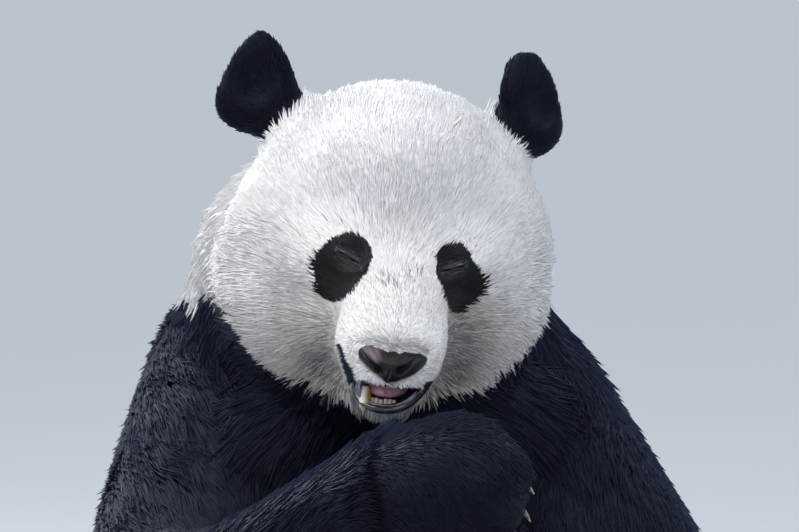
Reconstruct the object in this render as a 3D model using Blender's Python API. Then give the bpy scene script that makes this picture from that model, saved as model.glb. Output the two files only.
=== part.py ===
"""Giant panda, seated and feeding: a life-size still model, parted into named solids.

The animal sits on its rump with its hind legs stretched forward, soles out. It faces -Y,
+Z is up and +X is the animal's own left. Its right forearm is raised across the chest, with
the paw under the chin. Its left forearm rests on its left knee. The mouth is a little open.

Each region is modelled as runs of overlapping balls, which are fused, smoothed and thinned
into one closed form. Where two forms press together, the softer one is cut back by the other
one grown by the clearance, so that the two meet without an overlap. Long forms are parted at
their joints by flat cuts of the same clearance. Every surface is the outline of the coat's
tips.
"""

from math import ceil, radians

import bmesh
import bpy
from mathutils import Euler, Matrix, Vector

# ---------------------------------------------------------------- driving dimensions, metres

CLEARANCE = 0.0004          # gap left between two solids that meet
VOXEL = 0.010               # grain at which the large forms are fused
LIMB_VOXEL = 0.008          # grain for the limbs
FINE_VOXEL = 0.006          # grain for the ears and the tail

# how many triangles each fused form is thinned to
TRUNK_TRIANGLES = 1900
ARM_TRIANGLES = 360
LEG_TRIANGLES = 340
TAIL_TRIANGLES = 110
EAR_TRIANGLES = 170
NOSE_TRIANGLES = 170
HOLLOW_TRIANGLES = 50       # the ear's cup, a nostril or the dish round an eye
MOUTH_TRIANGLES = 90
TOOTH_TRIANGLES = 60

# the head, in its own frame: muzzle to -Y, crown to +Z, origin in the middle of the skull
HEAD_CENTRE = Vector((0.000, -0.200, 0.800))
HEAD_YAW = 4.0              # degrees, muzzle towards the animal's left
HEAD_PITCH = 8.0            # degrees, muzzle down
HEAD_ROLL = 5.5             # degrees, left ear down
HEAD_HALF_WIDTH = 0.172     # cheek fur
CROWN_HEIGHT = 0.175
EYE_SPREAD = 0.052          # from the middle line to each eye
EYE_HEIGHT = 0.018
EYE_RADIUS = 0.0125
EYE_DEPTH = -0.1100          # the eyeball's middle
EAR_BACK = 0.026            # both ears stand this far behind the middle of the skull
# each ear's turn about its own upright axis, then its root, middle and tip: where each lies
# and its half sizes across, through and up
LEFT_EAR_TURN = 45.0        # degrees, opening outward
LEFT_EAR = (((0.133, EAR_BACK, 0.134), (0.047, 0.024, 0.037)),
            ((0.126, EAR_BACK, 0.163), (0.044, 0.020, 0.034)),
            ((0.119, EAR_BACK, 0.186), (0.034, 0.015, 0.026)))
RIGHT_EAR_TURN = 0.0        # degrees, opening forward
RIGHT_EAR = (((-0.140, EAR_BACK, 0.132), (0.049, 0.024, 0.036)),
             ((-0.143, EAR_BACK, 0.160), (0.037, 0.020, 0.036)),
             ((-0.144, EAR_BACK, 0.184), (0.022, 0.015, 0.025)))
EAR_CUP = Vector((0.0, -0.0225, -0.004))           # from the middle of an ear to its hollow
EAR_CUP_HALF = (0.024, 0.0115, 0.030)
NOSE_WIDTH = 0.066
NOSE_TIP = Vector((0.0, -0.193, -0.066))
MOUTH_HEIGHT = -0.104       # middle of the parted lips
MOUTH_GAPE = 0.027

# the trunk: rump on the floor, back bowed, neck carried forward
# each station is the middle of a section and its half width, half depth and half height
FLOOR_SINK = 0.008          # how far soft undersides are pressed flat on the floor
RUMP = ((0.000, 0.125, 0.213 - FLOOR_SINK), (0.272, 0.235, 0.213))
LOINS = ((0.000, 0.104, 0.330), (0.285, 0.244, 0.200))
RIBS = ((0.000, 0.070, 0.450), (0.268, 0.232, 0.180))
WITHERS = ((0.000, 0.026, 0.565), (0.235, 0.200, 0.160))
NECK_ROOT = ((-0.012, -0.024, 0.665), (0.202, 0.178, 0.150))
NECK_TOP = ((-0.032, -0.070, 0.758), (0.177, 0.158, 0.162))
LOW_BELLY = ((0.000, -0.045, 0.225 - FLOOR_SINK), (0.250, 0.232, 0.225))
BELLY = ((0.000, -0.052, 0.330), (0.265, 0.215, 0.190))
CHEST = ((0.000, -0.045, 0.460), (0.245, 0.190, 0.170))
THROAT = ((0.000, -0.100, 0.615), (0.188, 0.138, 0.130))

# the limbs: each station is the middle of a section and its radius or half sizes
# the hind legs are given on the animal's left and mirrored
THIGH_RADIUS = 0.158
HIP = ((0.168, 0.060, THIGH_RADIUS - FLOOR_SINK), THIGH_RADIUS)
THIGH = ((0.224, -0.075, 0.160), 0.150)
KNEE = ((0.268, -0.200, 0.165), 0.126)
SHIN = ((0.288, -0.310, 0.128), 0.104)
ANKLE = ((0.300, -0.405, 0.094), 0.086)
HEEL = ((0.304, -0.462, 0.076 - FLOOR_SINK), 0.076)
INSTEP = ((0.310, -0.486, 0.120), (0.066, 0.052, 0.060))
SOLE_TOP = ((0.322, -0.500, 0.172), (0.068, 0.040, 0.036))

LEFT_SHOULDER = ((0.120, -0.036, 0.606), 0.118)
LEFT_UPPER_ARM = ((0.215, -0.085, 0.462), 0.114)
LEFT_ELBOW = ((0.266, -0.145, 0.376), 0.100)
LEFT_FOREARM = ((0.262, -0.250, 0.356), 0.083)
LEFT_WRIST = ((0.252, -0.338, 0.344), 0.068)
LEFT_PALM = ((0.244, -0.388, 0.328), (0.064, 0.056, 0.050))
LEFT_FINGERS = Vector((0.236, -0.445, 0.306))
RIGHT_SHOULDER = ((-0.130, -0.036, 0.645), 0.128)
RIGHT_UPPER_ARM = ((-0.200, -0.128, 0.480), 0.109)
RIGHT_ELBOW = ((-0.186, -0.232, 0.420), 0.102)
RIGHT_FOREARM = ((-0.100, -0.310, 0.480), 0.087)
RIGHT_WRIST = ((-0.002, -0.374, 0.570), 0.069)
RIGHT_PALM = ((0.068, -0.410, 0.606), (0.060, 0.056, 0.061))
RIGHT_FINGERS = Vector((0.108, -0.412, 0.570))

TAIL_ROOT = ((0.000, 0.335, 0.096), (0.060, 0.040, 0.050))
TAIL_TIP = ((0.000, 0.375, 0.034), (0.046, 0.044, 0.036))

CLAW_LENGTH = 0.028
CLAW_RADIUS = 0.0062
TOES = 5

# ------------------------------------------------------------------------- coat and skin tones

WHITE_FUR = (0.80, 0.79, 0.77)
BLACK_FUR = (0.013, 0.013, 0.018)
NOSE_LEATHER = (0.035, 0.025, 0.028)
DARK_EYE = (0.012, 0.008, 0.006)
IVORY = (0.66, 0.52, 0.33)
TONGUE_PINK = (0.52, 0.28, 0.30)
CLAW_HORN = (0.10, 0.085, 0.07)

LEFT = 1
RIGHT = -1
SIDE_NAMES = {LEFT: "left", RIGHT: "right"}

# head frame to world
HEAD_POSE = (Matrix.Translation(HEAD_CENTRE)
             @ Matrix.Rotation(radians(HEAD_YAW), 4, "Z")
             @ Matrix.Rotation(radians(HEAD_PITCH), 4, "X")
             @ Matrix.Rotation(radians(HEAD_ROLL), 4, "Y"))


# ------------------------------------------------------------------------------ small tools

def clear_scene():
    """Remove every object that is already in the scene."""
    for item in list(bpy.data.objects):
        bpy.data.objects.remove(item, do_unlink=True)


def make_material(name, colour, roughness):
    """Return a Principled material of one colour."""
    material = bpy.data.materials.new(name)
    material.use_nodes = True
    shader = material.node_tree.nodes["Principled BSDF"]
    shader.inputs["Base Color"].default_value = (*colour, 1.0)
    shader.inputs["Roughness"].default_value = roughness
    shader.inputs["Metallic"].default_value = 0.0
    return material


def make_object(name, mesh):
    """Link a mesh to the scene as a named object at the origin."""
    item = bpy.data.objects.new(name, mesh)
    bpy.context.scene.collection.objects.link(item)
    return item


def mesh_from(form, name):
    """Turn a bmesh into a mesh and free it."""
    mesh = bpy.data.meshes.new(name)
    form.to_mesh(mesh)
    form.free()
    return mesh


def bake_modifiers(item):
    """Replace an object's mesh with the mesh its modifiers give."""
    graph = bpy.context.evaluated_depsgraph_get()
    baked = bpy.data.meshes.new_from_object(item.evaluated_get(graph))
    item.modifiers.clear()
    item.data = baked


def fuse(form, name, voxel, smoothing, triangles):
    """Fuse overlapping balls into one smooth closed form of about the given triangles."""
    item = make_object(name, mesh_from(form, name))
    remesh = item.modifiers.new("fuse", "REMESH")
    remesh.mode = "VOXEL"
    remesh.voxel_size = voxel
    smooth = item.modifiers.new("smooth", "SMOOTH")
    smooth.factor = 0.5
    smooth.iterations = smoothing
    bake_modifiers(item)
    item.data.calc_loop_triangles()
    thin = item.modifiers.new("thin", "DECIMATE")
    thin.ratio = triangles / len(item.data.loop_triangles)
    thin.use_collapse_triangulate = True
    bake_modifiers(item)
    return item


def cut(item, other):
    """Take one form away from an object with an exact Boolean."""
    boolean = item.modifiers.new("cut", "BOOLEAN")
    boolean.operation = "DIFFERENCE"
    boolean.solver = "EXACT"
    boolean.object = other
    bake_modifiers(item)


def discard(item):
    """Remove a helper object."""
    bpy.data.objects.remove(item, do_unlink=True)


def grown(item):
    """Return a copy of a form, grown outward by the clearance."""
    form = bmesh.new()
    form.from_mesh(item.data)
    form.normal_update()
    moved = [(vertex, vertex.co + vertex.normal * CLEARANCE) for vertex in form.verts]
    for vertex, place in moved:
        vertex.co = place
    return make_object(item.name + "_room", mesh_from(form, item.name))


def make_room(item, *neighbours):
    """Cut an object back so that each neighbour fits with the clearance."""
    for neighbour in neighbours:
        room = grown(neighbour)
        cut(item, room)
        discard(room)


def half_space(point, normal, size=3.0):
    """Return a large block that fills the side of a plane that its normal points to."""
    form = bmesh.new()
    turn = Vector(normal).to_track_quat("Z", "Y").to_matrix().to_4x4()
    lift = Matrix.Translation((0.0, 0.0, size / 2))
    place = Matrix.Translation(point) @ turn @ lift
    bmesh.ops.create_cube(form, size=size, matrix=place)
    return make_object("half_space", mesh_from(form, "half_space"))


def trim(item, point, normal):
    """Remove what lies on the side of a plane that its normal points to."""
    block = half_space(point, normal)
    cut(item, block)
    discard(block)


def bend_normal(before, joint, after):
    """Return the normal of the plane that halves the bend of a limb at a joint."""
    return (Vector(joint) - Vector(before)).normalized() + (Vector(after) - Vector(joint)).normalized()


def part_off(item, name, point, normal):
    """Part a form with a thin flat cut; the side the normal points to becomes a new object."""
    normal = Vector(normal).normalized()
    far = make_object(name, item.data.copy())
    trim(far, Vector(point) + normal * CLEARANCE / 2, -normal)
    trim(item, Vector(point) - normal * CLEARANCE / 2, normal)
    return far


def half_sizes(radii):
    """Return three half sizes for a radius or for three half sizes."""
    return Vector(radii) if hasattr(radii, "__len__") else Vector((radii, radii, radii))


def add_ball(form, centre, radii, turn=(0.0, 0.0, 0.0), frame=Matrix.Identity(4)):
    """Add an ellipsoid; turn is in degrees about its X, Y and Z axes."""
    spin = Euler([radians(angle) for angle in turn]).to_matrix().to_4x4()
    size = Matrix.Diagonal((*half_sizes(radii), 1.0))
    place = frame @ Matrix.Translation(centre) @ spin @ size
    bmesh.ops.create_icosphere(form, subdivisions=4, radius=1.0, matrix=place)


def smooth_step(values, before, span, after, share):
    """Return the Catmull-Rom value between two stations."""
    a, b, c, d = values[before], values[span], values[span + 1], values[after]
    linear = (c - a) * share
    square = (2 * a - 5 * b + 4 * c - d) * share ** 2
    cube = (3 * b - a - 3 * c + d) * share ** 3
    return b + (linear + square + cube) / 2


def add_chain(form, *stations, frame=Matrix.Identity(4)):
    """Add a run of balls through stations, with centres and sizes on smooth curves."""
    centres = [Vector(centre) for centre, _ in stations]
    sizes = [half_sizes(radii) for _, radii in stations]
    last = len(stations) - 1
    for span in range(last):
        before = max(span - 1, 0)
        after = min(span + 2, last)
        length = (centres[span + 1] - centres[span]).length
        steps = max(2, ceil(length / (0.25 * min(sizes[span]))))
        for step in range(steps + (span == last - 1)):
            share = step / steps
            middle = smooth_step(centres, before, span, after, share)
            size = smooth_step(sizes, before, span, after, share)
            add_ball(form, middle, size, frame=frame)


# ------------------------------------------------------------------------------- the trunk

def add_trunk(form):
    """Rump, back, neck and belly, bowed forward as a sitting panda's are."""
    add_chain(form, RUMP, LOINS, RIBS, WITHERS, NECK_ROOT, NECK_TOP)
    add_chain(form, LOW_BELLY, BELLY, CHEST, THROAT)


# -------------------------------------------------------------------------------- the head

def add_head(form):
    """Skull, cheeks, forehead, muzzle and chin, in the head's own frame."""
    wide = HEAD_HALF_WIDTH
    crown = ((0.0, 0.015, CROWN_HEIGHT - 0.102), (0.126, 0.118, 0.102))
    temples = ((0.0, 0.005, 0.020), (wide * 0.955, 0.136, 0.122))
    cheeks = ((0.0, -0.004, -0.044), (wide, 0.130, 0.106))
    jowls = ((0.0, -0.016, -0.082), (wide * 0.80, 0.110, 0.080))
    add_chain(form, crown, temples, cheeks, jowls, frame=HEAD_POSE)
    add_ball(form, (0.0, -0.044, 0.062), (0.102, 0.086, 0.092), frame=HEAD_POSE)
    stop = ((0.0, -0.074, -0.008), (0.072, 0.070, 0.068))
    bridge = ((0.0, -0.118, -0.043), (0.061, 0.054, 0.060))
    tip = ((0.0, -0.153, -0.067), (0.055, 0.046, 0.050))
    add_chain(form, stop, bridge, tip, frame=HEAD_POSE)
    add_ball(form, (0.0, -0.116, -0.114), (0.046, 0.051, 0.035), frame=HEAD_POSE)


def make_ear(side):
    """A round cupped ear, widest near its root, in the head's frame."""
    stations, turn = (LEFT_EAR, LEFT_EAR_TURN) if side == LEFT else (RIGHT_EAR, RIGHT_EAR_TURN)
    form = bmesh.new()
    for middle, radii in stations:
        add_ball(form, middle, radii, turn=(0.0, 0.0, turn), frame=HEAD_POSE)
    ear = fuse(form, "ear_" + SIDE_NAMES[side], FINE_VOXEL, 3, EAR_TRIANGLES)
    cup = bmesh.new()
    hollow = Vector(stations[1][0]) + Matrix.Rotation(radians(turn), 3, "Z") @ EAR_CUP
    add_ball(cup, hollow, EAR_CUP_HALF, turn=(0.0, 0.0, turn), frame=HEAD_POSE)
    cutter = fuse(cup, "cup", FINE_VOXEL, 2, HOLLOW_TRIANGLES)
    cut(ear, cutter)
    discard(cutter)
    return ear


def make_eye(side):
    """An eyeball seated behind its lids."""
    form = bmesh.new()
    place = HEAD_POSE @ Matrix.Translation((side * EYE_SPREAD, EYE_DEPTH, EYE_HEIGHT))
    bmesh.ops.create_icosphere(form, subdivisions=2, radius=EYE_RADIUS, matrix=place)
    return make_object("eye_" + SIDE_NAMES[side], mesh_from(form, "eye"))


def make_eye_hollow(side):
    """The shallow dish between brow, cheek and muzzle in which an eye lies."""
    form = bmesh.new()
    middle = (side * EYE_SPREAD, EYE_DEPTH - EYE_RADIUS - 0.010, EYE_HEIGHT)
    add_ball(form, middle, (0.024, 0.012, 0.015), turn=(0.0, side * 30.0, 0.0), frame=HEAD_POSE)
    return fuse(form, "eye_hollow", 0.004, 1, HOLLOW_TRIANGLES)


def make_nose():
    """The nose pad: a wide rounded triangle with two nostrils."""
    half = NOSE_WIDTH / 2
    form = bmesh.new()
    for side in (LEFT, RIGHT):
        wing = NOSE_TIP + Vector((side * half * 0.45, 0.004, 0.003))
        add_ball(form, wing, (half * 0.55, 0.016, 0.013), frame=HEAD_POSE)
    add_ball(form, NOSE_TIP, (half * 0.62, 0.018, 0.014), frame=HEAD_POSE)
    add_ball(form, NOSE_TIP + Vector((0.0, 0.001, -0.010)), (0.012, 0.015, 0.012), frame=HEAD_POSE)
    nose = fuse(form, "nose", 0.0030, 2, NOSE_TRIANGLES)
    for side in (LEFT, RIGHT):
        hole = bmesh.new()
        nostril = NOSE_TIP + Vector((side * half * 0.42, -0.016, -0.003))
        add_ball(hole, nostril, (0.0065, 0.010, 0.0042), turn=(0.0, side * 20.0, 0.0), frame=HEAD_POSE)
        cutter = fuse(hole, "nostril", 0.0015, 1, HOLLOW_TRIANGLES)
        cut(nose, cutter)
        discard(cutter)
    return nose


def make_mouth_opening():
    """The space between the parted lips, deeper and wider on the animal's right."""
    form = bmesh.new()
    middle = (-0.009, -0.150, MOUTH_HEIGHT)
    add_ball(form, middle, (0.037, 0.064, MOUTH_GAPE / 2), turn=(10.0, -8.0, 0.0), frame=HEAD_POSE)
    return fuse(form, "mouth_opening", 0.004, 1, MOUTH_TRIANGLES)


def make_tooth(name, root, tip, radius):
    """One tooth: a tapering blunt peg from the gum to its tip, in the head's frame."""
    form = bmesh.new()
    add_chain(form, (root, radius), (tip, radius * 0.45), frame=HEAD_POSE)
    return fuse(form, name, 0.0016, 1, TOOTH_TRIANGLES)


def make_incisors():
    """The row of small lower front teeth on one bar of gum."""
    form = bmesh.new()
    count = 6
    spread = 0.024
    for place in range(count):
        share = place / (count - 1) - 0.5
        x = -0.004 + spread * share
        y = -0.163 + 0.030 * share * share
        add_chain(form, ((x, y, -0.1215), 0.0036), ((x, y, -0.1100), 0.0028), frame=HEAD_POSE)
    return fuse(form, "incisors_lower", 0.0014, 1, 2 * TOOTH_TRIANGLES)


def make_tongue():
    """The tongue's front, low in the open mouth."""
    form = bmesh.new()
    add_ball(form, (-0.006, -0.124, -0.1080), (0.020, 0.024, 0.0065), turn=(8.0, 0.0, 0.0), frame=HEAD_POSE)
    return fuse(form, "tongue", 0.002, 1, MOUTH_TRIANGLES)


# ------------------------------------------------------------------------- limbs and paws

def add_toes(form, wrist, tips, across, spread, radius, curl):
    """Fan the toes from the wrist to a row of tips, bent over by curl at their ends."""
    wrist = Vector(wrist)
    across = Vector(across).normalized()
    ends = []
    for toe in range(TOES):
        share = toe / (TOES - 1) - 0.5
        root = wrist.lerp(tips, 0.45) + across * spread * share * 0.7
        reach = 1.0 - 0.6 * share * share
        tip = wrist.lerp(tips, reach) + across * spread * share
        end = tip + Vector(curl) * 0.5
        add_chain(form, (root, radius * 1.15), (tip, radius), (end, radius * 0.85))
        ends.append((end, (end - root).normalized()))
    return ends


def make_claw(name, root, direction, droop):
    """A curved claw: a bent cone from its root in the toe to its point."""
    form = bmesh.new()
    sides = 4
    rings = 3
    forward = Vector(direction).normalized()
    down = Vector(droop) - forward * Vector(droop).dot(forward)
    down.normalize()
    bmesh.ops.create_cone(form, cap_ends=True, cap_tris=False, segments=sides,
                          radius1=CLAW_RADIUS, radius2=CLAW_RADIUS * 0.15, depth=CLAW_LENGTH)
    long_edges = [edge for edge in form.edges if edge.calc_length() > CLAW_LENGTH / 2]
    bmesh.ops.subdivide_edges(form, edges=long_edges, cuts=rings - 1)
    side = forward.cross(down)
    for vertex in form.verts:
        along = vertex.co.z + CLAW_LENGTH / 2
        bend = 0.35 * along * along / CLAW_LENGTH
        vertex.co = (Vector(root) + forward * along + down * (bend + vertex.co.x)
                     + side * vertex.co.y * 0.7)
    bmesh.ops.triangulate(form, faces=form.faces)
    return make_object(name, mesh_from(form, name))


def make_claws(prefix, ends, droop):
    """One claw for each toe."""
    claws = []
    for number, (end, direction) in enumerate(ends, start=1):
        root = end + direction * 0.004
        claws.append(make_claw(f"{prefix}_{number}", root, direction, droop))
    return claws


def make_arm(side, stations, fingers, across, curl):
    """A whole foreleg, from the shoulder to the toes."""
    form = bmesh.new()
    add_chain(form, *stations)
    palm = Vector(stations[-1][0])
    wrist = Vector(stations[-2][0])
    ends = add_toes(form, palm.lerp(wrist, 0.4), fingers, across, 0.090, 0.0205, curl)
    arm = fuse(form, "upper_arm_" + SIDE_NAMES[side], LIMB_VOXEL, 8, ARM_TRIANGLES)
    return arm, ends


def mirrored(station, side):
    """Return a station on the given side of the body."""
    centre, radii = station
    return Vector(centre) * Vector((side, 1.0, 1.0)), radii


def make_leg(side):
    """A whole hind leg, stretched forward with the sole facing out."""
    stations = [mirrored(station, side) for station in (HIP, THIGH, KNEE, SHIN, ANKLE, HEEL)]
    sole = [mirrored(station, side) for station in (HEEL, INSTEP, SOLE_TOP)]
    form = bmesh.new()
    add_chain(form, *stations)
    add_chain(form, *sole)
    across = Vector((1.0, side * 0.25, -side * 0.12))
    tips = sole[-1][0] + Vector((side * 0.004, 0.000, 0.026))
    ends = add_toes(form, sole[0][0], tips, across, 0.106, 0.0200, (0.0, -0.012, 0.010))
    leg = fuse(form, "thigh_" + SIDE_NAMES[side], LIMB_VOXEL, 8, LEG_TRIANGLES)
    return leg, ends


def make_tail():
    """The short flat tail, lying on the floor behind the rump."""
    form = bmesh.new()
    add_chain(form, TAIL_ROOT, TAIL_TIP)
    return fuse(form, "tail", FINE_VOXEL, 4, TAIL_TRIANGLES)


# ------------------------------------------------------------------------------- assembly

def build_panda():
    """Model, fit and part the whole animal. Returns each solid with its material."""
    white = make_material("white_fur", WHITE_FUR, 0.9)
    black = make_material("black_fur", BLACK_FUR, 0.8)
    leather = make_material("nose_leather", NOSE_LEATHER, 0.4)
    glossy = make_material("eye", DARK_EYE, 0.08)
    enamel = make_material("tooth_enamel", IVORY, 0.3)
    pink = make_material("tongue_flesh", TONGUE_PINK, 0.35)
    horn = make_material("claw_horn", CLAW_HORN, 0.35)

    left_stations = (LEFT_SHOULDER, LEFT_UPPER_ARM, LEFT_ELBOW, LEFT_FOREARM, LEFT_WRIST, LEFT_PALM)
    right_stations = (RIGHT_SHOULDER, RIGHT_UPPER_ARM, RIGHT_ELBOW, RIGHT_FOREARM, RIGHT_WRIST,
                      RIGHT_PALM)
    arm_left, ends_left = make_arm(LEFT, left_stations, LEFT_FINGERS,
                                   across=(1.0, 0.0, 0.1), curl=(0.0, -0.010, -0.030))
    arm_right, ends_right = make_arm(RIGHT, right_stations, RIGHT_FINGERS,
                                     across=(0.45, 0.10, 0.85), curl=(0.004, 0.060, -0.034))
    leg_left, feet_left = make_leg(LEFT)
    leg_right, feet_right = make_leg(RIGHT)

    whole = bmesh.new()
    add_trunk(whole)
    add_head(whole)
    trunk = fuse(whole, "trunk", VOXEL, 14, TRUNK_TRIANGLES)
    tail = make_tail()

    make_room(arm_left, trunk)
    make_room(arm_right, trunk)
    make_room(leg_left, trunk, arm_left)
    make_room(leg_right, trunk, arm_right)
    make_room(tail, trunk)
    for form in (trunk, tail, leg_left, leg_right):
        trim(form, (0.0, 0.0, 0.0), (0.0, 0.0, -1.0))

    collar = NECK_ROOT[0]
    neck = part_off(trunk, "neck", collar, (0.0, -0.35, 0.94))
    nape = HEAD_POSE @ Vector((0.0, 0.055, -0.02))
    head = part_off(neck, "head", nape, HEAD_POSE.to_3x3() @ Vector((0.0, -0.97, 0.24)))

    opening = make_mouth_opening()
    gullet = HEAD_POSE @ Vector((0.0, -0.150, MOUTH_HEIGHT - 0.004))
    jaw = part_off(head, "jaw", gullet, HEAD_POSE.to_3x3() @ Vector((0.0, -0.376, -0.926)))
    for form in (head, jaw):
        cut(form, opening)
    discard(opening)

    solids = [(trunk, white), (tail, white), (neck, white), (head, white), (jaw, white)]
    for side in (LEFT, RIGHT):
        ear = make_ear(side)
        make_room(head, ear)
        make_room(neck, ear)
        solids.append((ear, black))
        hollow = make_eye_hollow(side)
        cut(head, hollow)
        discard(hollow)
        eye = make_eye(side)
        make_room(head, eye)
        solids.append((eye, glossy))
    nose = make_nose()
    make_room(head, nose)
    solids.append((nose, leather))

    canine = make_tooth("canine_lower_right", (-0.0275, -0.150, -0.120), (-0.0285, -0.154, -0.098), 0.0048)
    incisors = make_incisors()
    tongue = make_tongue()
    for form in (head, jaw):
        make_room(form, canine, incisors, tongue)
    solids.extend([(canine, enamel), (incisors, enamel), (tongue, pink)])

    arms = {LEFT: (arm_left, left_stations, LEFT_FINGERS, ends_left),
            RIGHT: (arm_right, right_stations, RIGHT_FINGERS, ends_right)}
    for side, (arm, stations, fingers, ends) in arms.items():
        name = SIDE_NAMES[side]
        shoulder, _, elbow, _, wrist, _ = [Vector(centre) for centre, _ in stations]
        forearm = part_off(arm, "forearm_" + name, elbow, bend_normal(shoulder, elbow, wrist))
        paw = part_off(forearm, "forepaw_" + name, wrist, bend_normal(elbow, wrist, fingers))
        claws = make_claws("claw_front_" + name, ends, (0.0, 0.4, -1.0))
        make_room(paw, *claws)
        solids.extend([(arm, black), (forearm, black), (paw, black)])
        solids.extend((claw, horn) for claw in claws)

    legs = {LEFT: (leg_left, feet_left), RIGHT: (leg_right, feet_right)}
    for side, (leg, ends) in legs.items():
        name = SIDE_NAMES[side]
        hip, knee, ankle = [mirrored(station, side)[0] for station in (HIP, KNEE, ANKLE)]
        shank = part_off(leg, "shank_" + name, knee, bend_normal(hip, knee, ankle))
        foot = part_off(shank, "hind_foot_" + name, ankle, (0.0, -1.0, 0.15))
        claws = make_claws("claw_hind_" + name, ends, (0.0, -1.0, -0.2))
        make_room(foot, *claws)
        solids.extend([(leg, black), (shank, black), (foot, black)])
        solids.extend((claw, horn) for claw in claws)
    return solids


def finish(solids):
    """Centre the footprint on the origin, shade the solids and give them their materials."""
    corners = [vertex.co for item, _ in solids for vertex in item.data.vertices]
    middle_x = (min(c.x for c in corners) + max(c.x for c in corners)) / 2
    middle_y = (min(c.y for c in corners) + max(c.y for c in corners)) / 2
    shift = Vector((-middle_x, -middle_y, 0.0))
    for item, material in solids:
        item.data.transform(Matrix.Translation(shift))
        item.data.materials.clear()
        item.data.materials.append(material)
        item.data.shade_smooth()
        item.data.set_sharp_from_angle(angle=radians(50.0))


clear_scene()
finish(build_panda())
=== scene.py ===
# %% [markdown]
# # A giant panda, seated
# A panda is a round, heavy animal under a dense coat, so almost nothing of it is a hard
# shape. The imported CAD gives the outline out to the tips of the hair. Here the body gets
# one skin that lies inside that outline by the depth of the coat, and then the coat itself,
# lock by lock. Eyes, nose, mouth and claws are pieces of their own.

# %% Load the fixed frame
import functools
import math

import bmesh
import bpy
import numpy as np
from mathutils import Matrix, Vector
from mathutils.bvhtree import BVHTree
from mathutils.kdtree import KDTree


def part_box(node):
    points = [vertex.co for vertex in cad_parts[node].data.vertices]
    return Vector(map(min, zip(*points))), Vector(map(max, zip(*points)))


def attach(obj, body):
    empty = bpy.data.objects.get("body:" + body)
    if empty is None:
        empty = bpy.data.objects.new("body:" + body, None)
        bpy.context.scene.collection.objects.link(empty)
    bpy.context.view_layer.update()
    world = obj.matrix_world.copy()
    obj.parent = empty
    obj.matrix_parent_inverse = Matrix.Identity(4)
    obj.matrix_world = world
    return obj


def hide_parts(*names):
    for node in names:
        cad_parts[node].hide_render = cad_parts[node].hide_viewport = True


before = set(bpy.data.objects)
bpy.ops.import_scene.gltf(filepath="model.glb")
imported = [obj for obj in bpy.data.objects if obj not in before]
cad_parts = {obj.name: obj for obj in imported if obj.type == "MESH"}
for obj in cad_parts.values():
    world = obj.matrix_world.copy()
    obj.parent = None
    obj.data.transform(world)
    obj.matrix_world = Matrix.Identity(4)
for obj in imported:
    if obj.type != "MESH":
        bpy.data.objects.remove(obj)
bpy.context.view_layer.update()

# %% [markdown]
# ## Colours and nodes
# Colours are picked as sRGB hex values, because that is how a colour chart gives them, but
# a renderer mixes light in linear values. One function turns one into the other. Another
# adds a shader node with its settings and links, so that a material reads as a short list.

# %% Helpers for materials


def linear(hex_colour):
    """An sRGB hex colour as the linear RGBA that shader sockets take."""
    channels = [int(hex_colour[i:i + 2], 16) / 255 for i in (1, 3, 5)]
    return [c / 12.92 if c <= 0.04045 else ((c + 0.055) / 1.055) ** 2.4 for c in channels] + [1.0]


def add_node(material, kind, inputs=None, stops=None, **settings):
    """Adds a node: settings are its own fields, stops a ramp's (position, hex colour) pairs,
    inputs its sockets' values, or the sockets or nodes that they are linked to. A node
    gives its first output."""
    tree = material.node_tree
    node = tree.nodes.new("ShaderNode" + kind)
    for name, value in settings.items():
        setattr(node, name, value)
    for socket, value in (inputs or {}).items():
        if isinstance(value, bpy.types.Node):
            value = value.outputs[0]
        if isinstance(value, bpy.types.NodeSocket):
            tree.links.new(value, node.inputs[socket])
        else:
            node.inputs[socket].default_value = value
    if stops:
        ramp = node.color_ramp
        while len(ramp.elements) < len(stops):
            ramp.elements.new(0.5)
        for element, (position, colour) in zip(ramp.elements, stops):
            element.position = position
            element.color = linear(colour)
    return node


def start_material(name):
    """A new node material, emptied, and the function that adds nodes to it."""
    material = bpy.data.materials.new(name)
    material.use_nodes = True
    material.node_tree.nodes.clear()
    return material, functools.partial(add_node, material)


def end_material(material, shader):
    """Wires the shader to the output."""
    add_node(material, "OutputMaterial", {"Surface": shader})
    return material


print("middle grey in linear light: %.3f" % linear("#808080")[0])

# %% [markdown]
# ## Meshes and pieces
# Points are worked on as arrays, and loose forms are poured together into one mesh. Each
# of these steps has one short function. The last one makes a finished piece, which rides
# on the body and has a slot for the look it carries.

# %% Helpers for meshes and pieces


def read(mesh_items, field, width, kind=np.float32):
    """A field of a mesh's items as an array."""
    values = np.empty(len(mesh_items) * width, kind)
    mesh_items.foreach_get(field, values)
    return values.reshape(-1, width) if width > 1 else values


def move_points(mesh, places):
    mesh.vertices.foreach_set("co", places.astype(np.float32).ravel())
    mesh.update()


def give_values(mesh, name, values):
    """A value for every point, which a material can ask for by its name."""
    layer = mesh.attributes.new(name, "FLOAT", "POINT")
    layer.data.foreach_set("value", np.asarray(values, np.float32))


def mesh_from(name, form, smooth=False):
    """A bmesh becomes a mesh."""
    mesh = bpy.data.meshes.new(name)
    form.to_mesh(mesh)
    form.free()
    if smooth:
        mesh.shade_smooth()
    return mesh


def pour(form, into):
    """Adds one bmesh to another, and says how many faces it had."""
    scratch = mesh_from("scratch", form)
    into.from_mesh(scratch)
    count = len(scratch.polygons)
    bpy.data.meshes.remove(scratch)
    return count


def soften(form, verts, factor, times):
    for _ in range(times):
        bmesh.ops.smooth_vert(form, verts=verts, factor=factor,
                              use_axis_x=True, use_axis_y=True, use_axis_z=True)


def place_object(name, data):
    """A new object of the scene, at the origin."""
    item = bpy.data.objects.new(name, data)
    bpy.context.scene.collection.objects.link(item)
    return item


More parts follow.
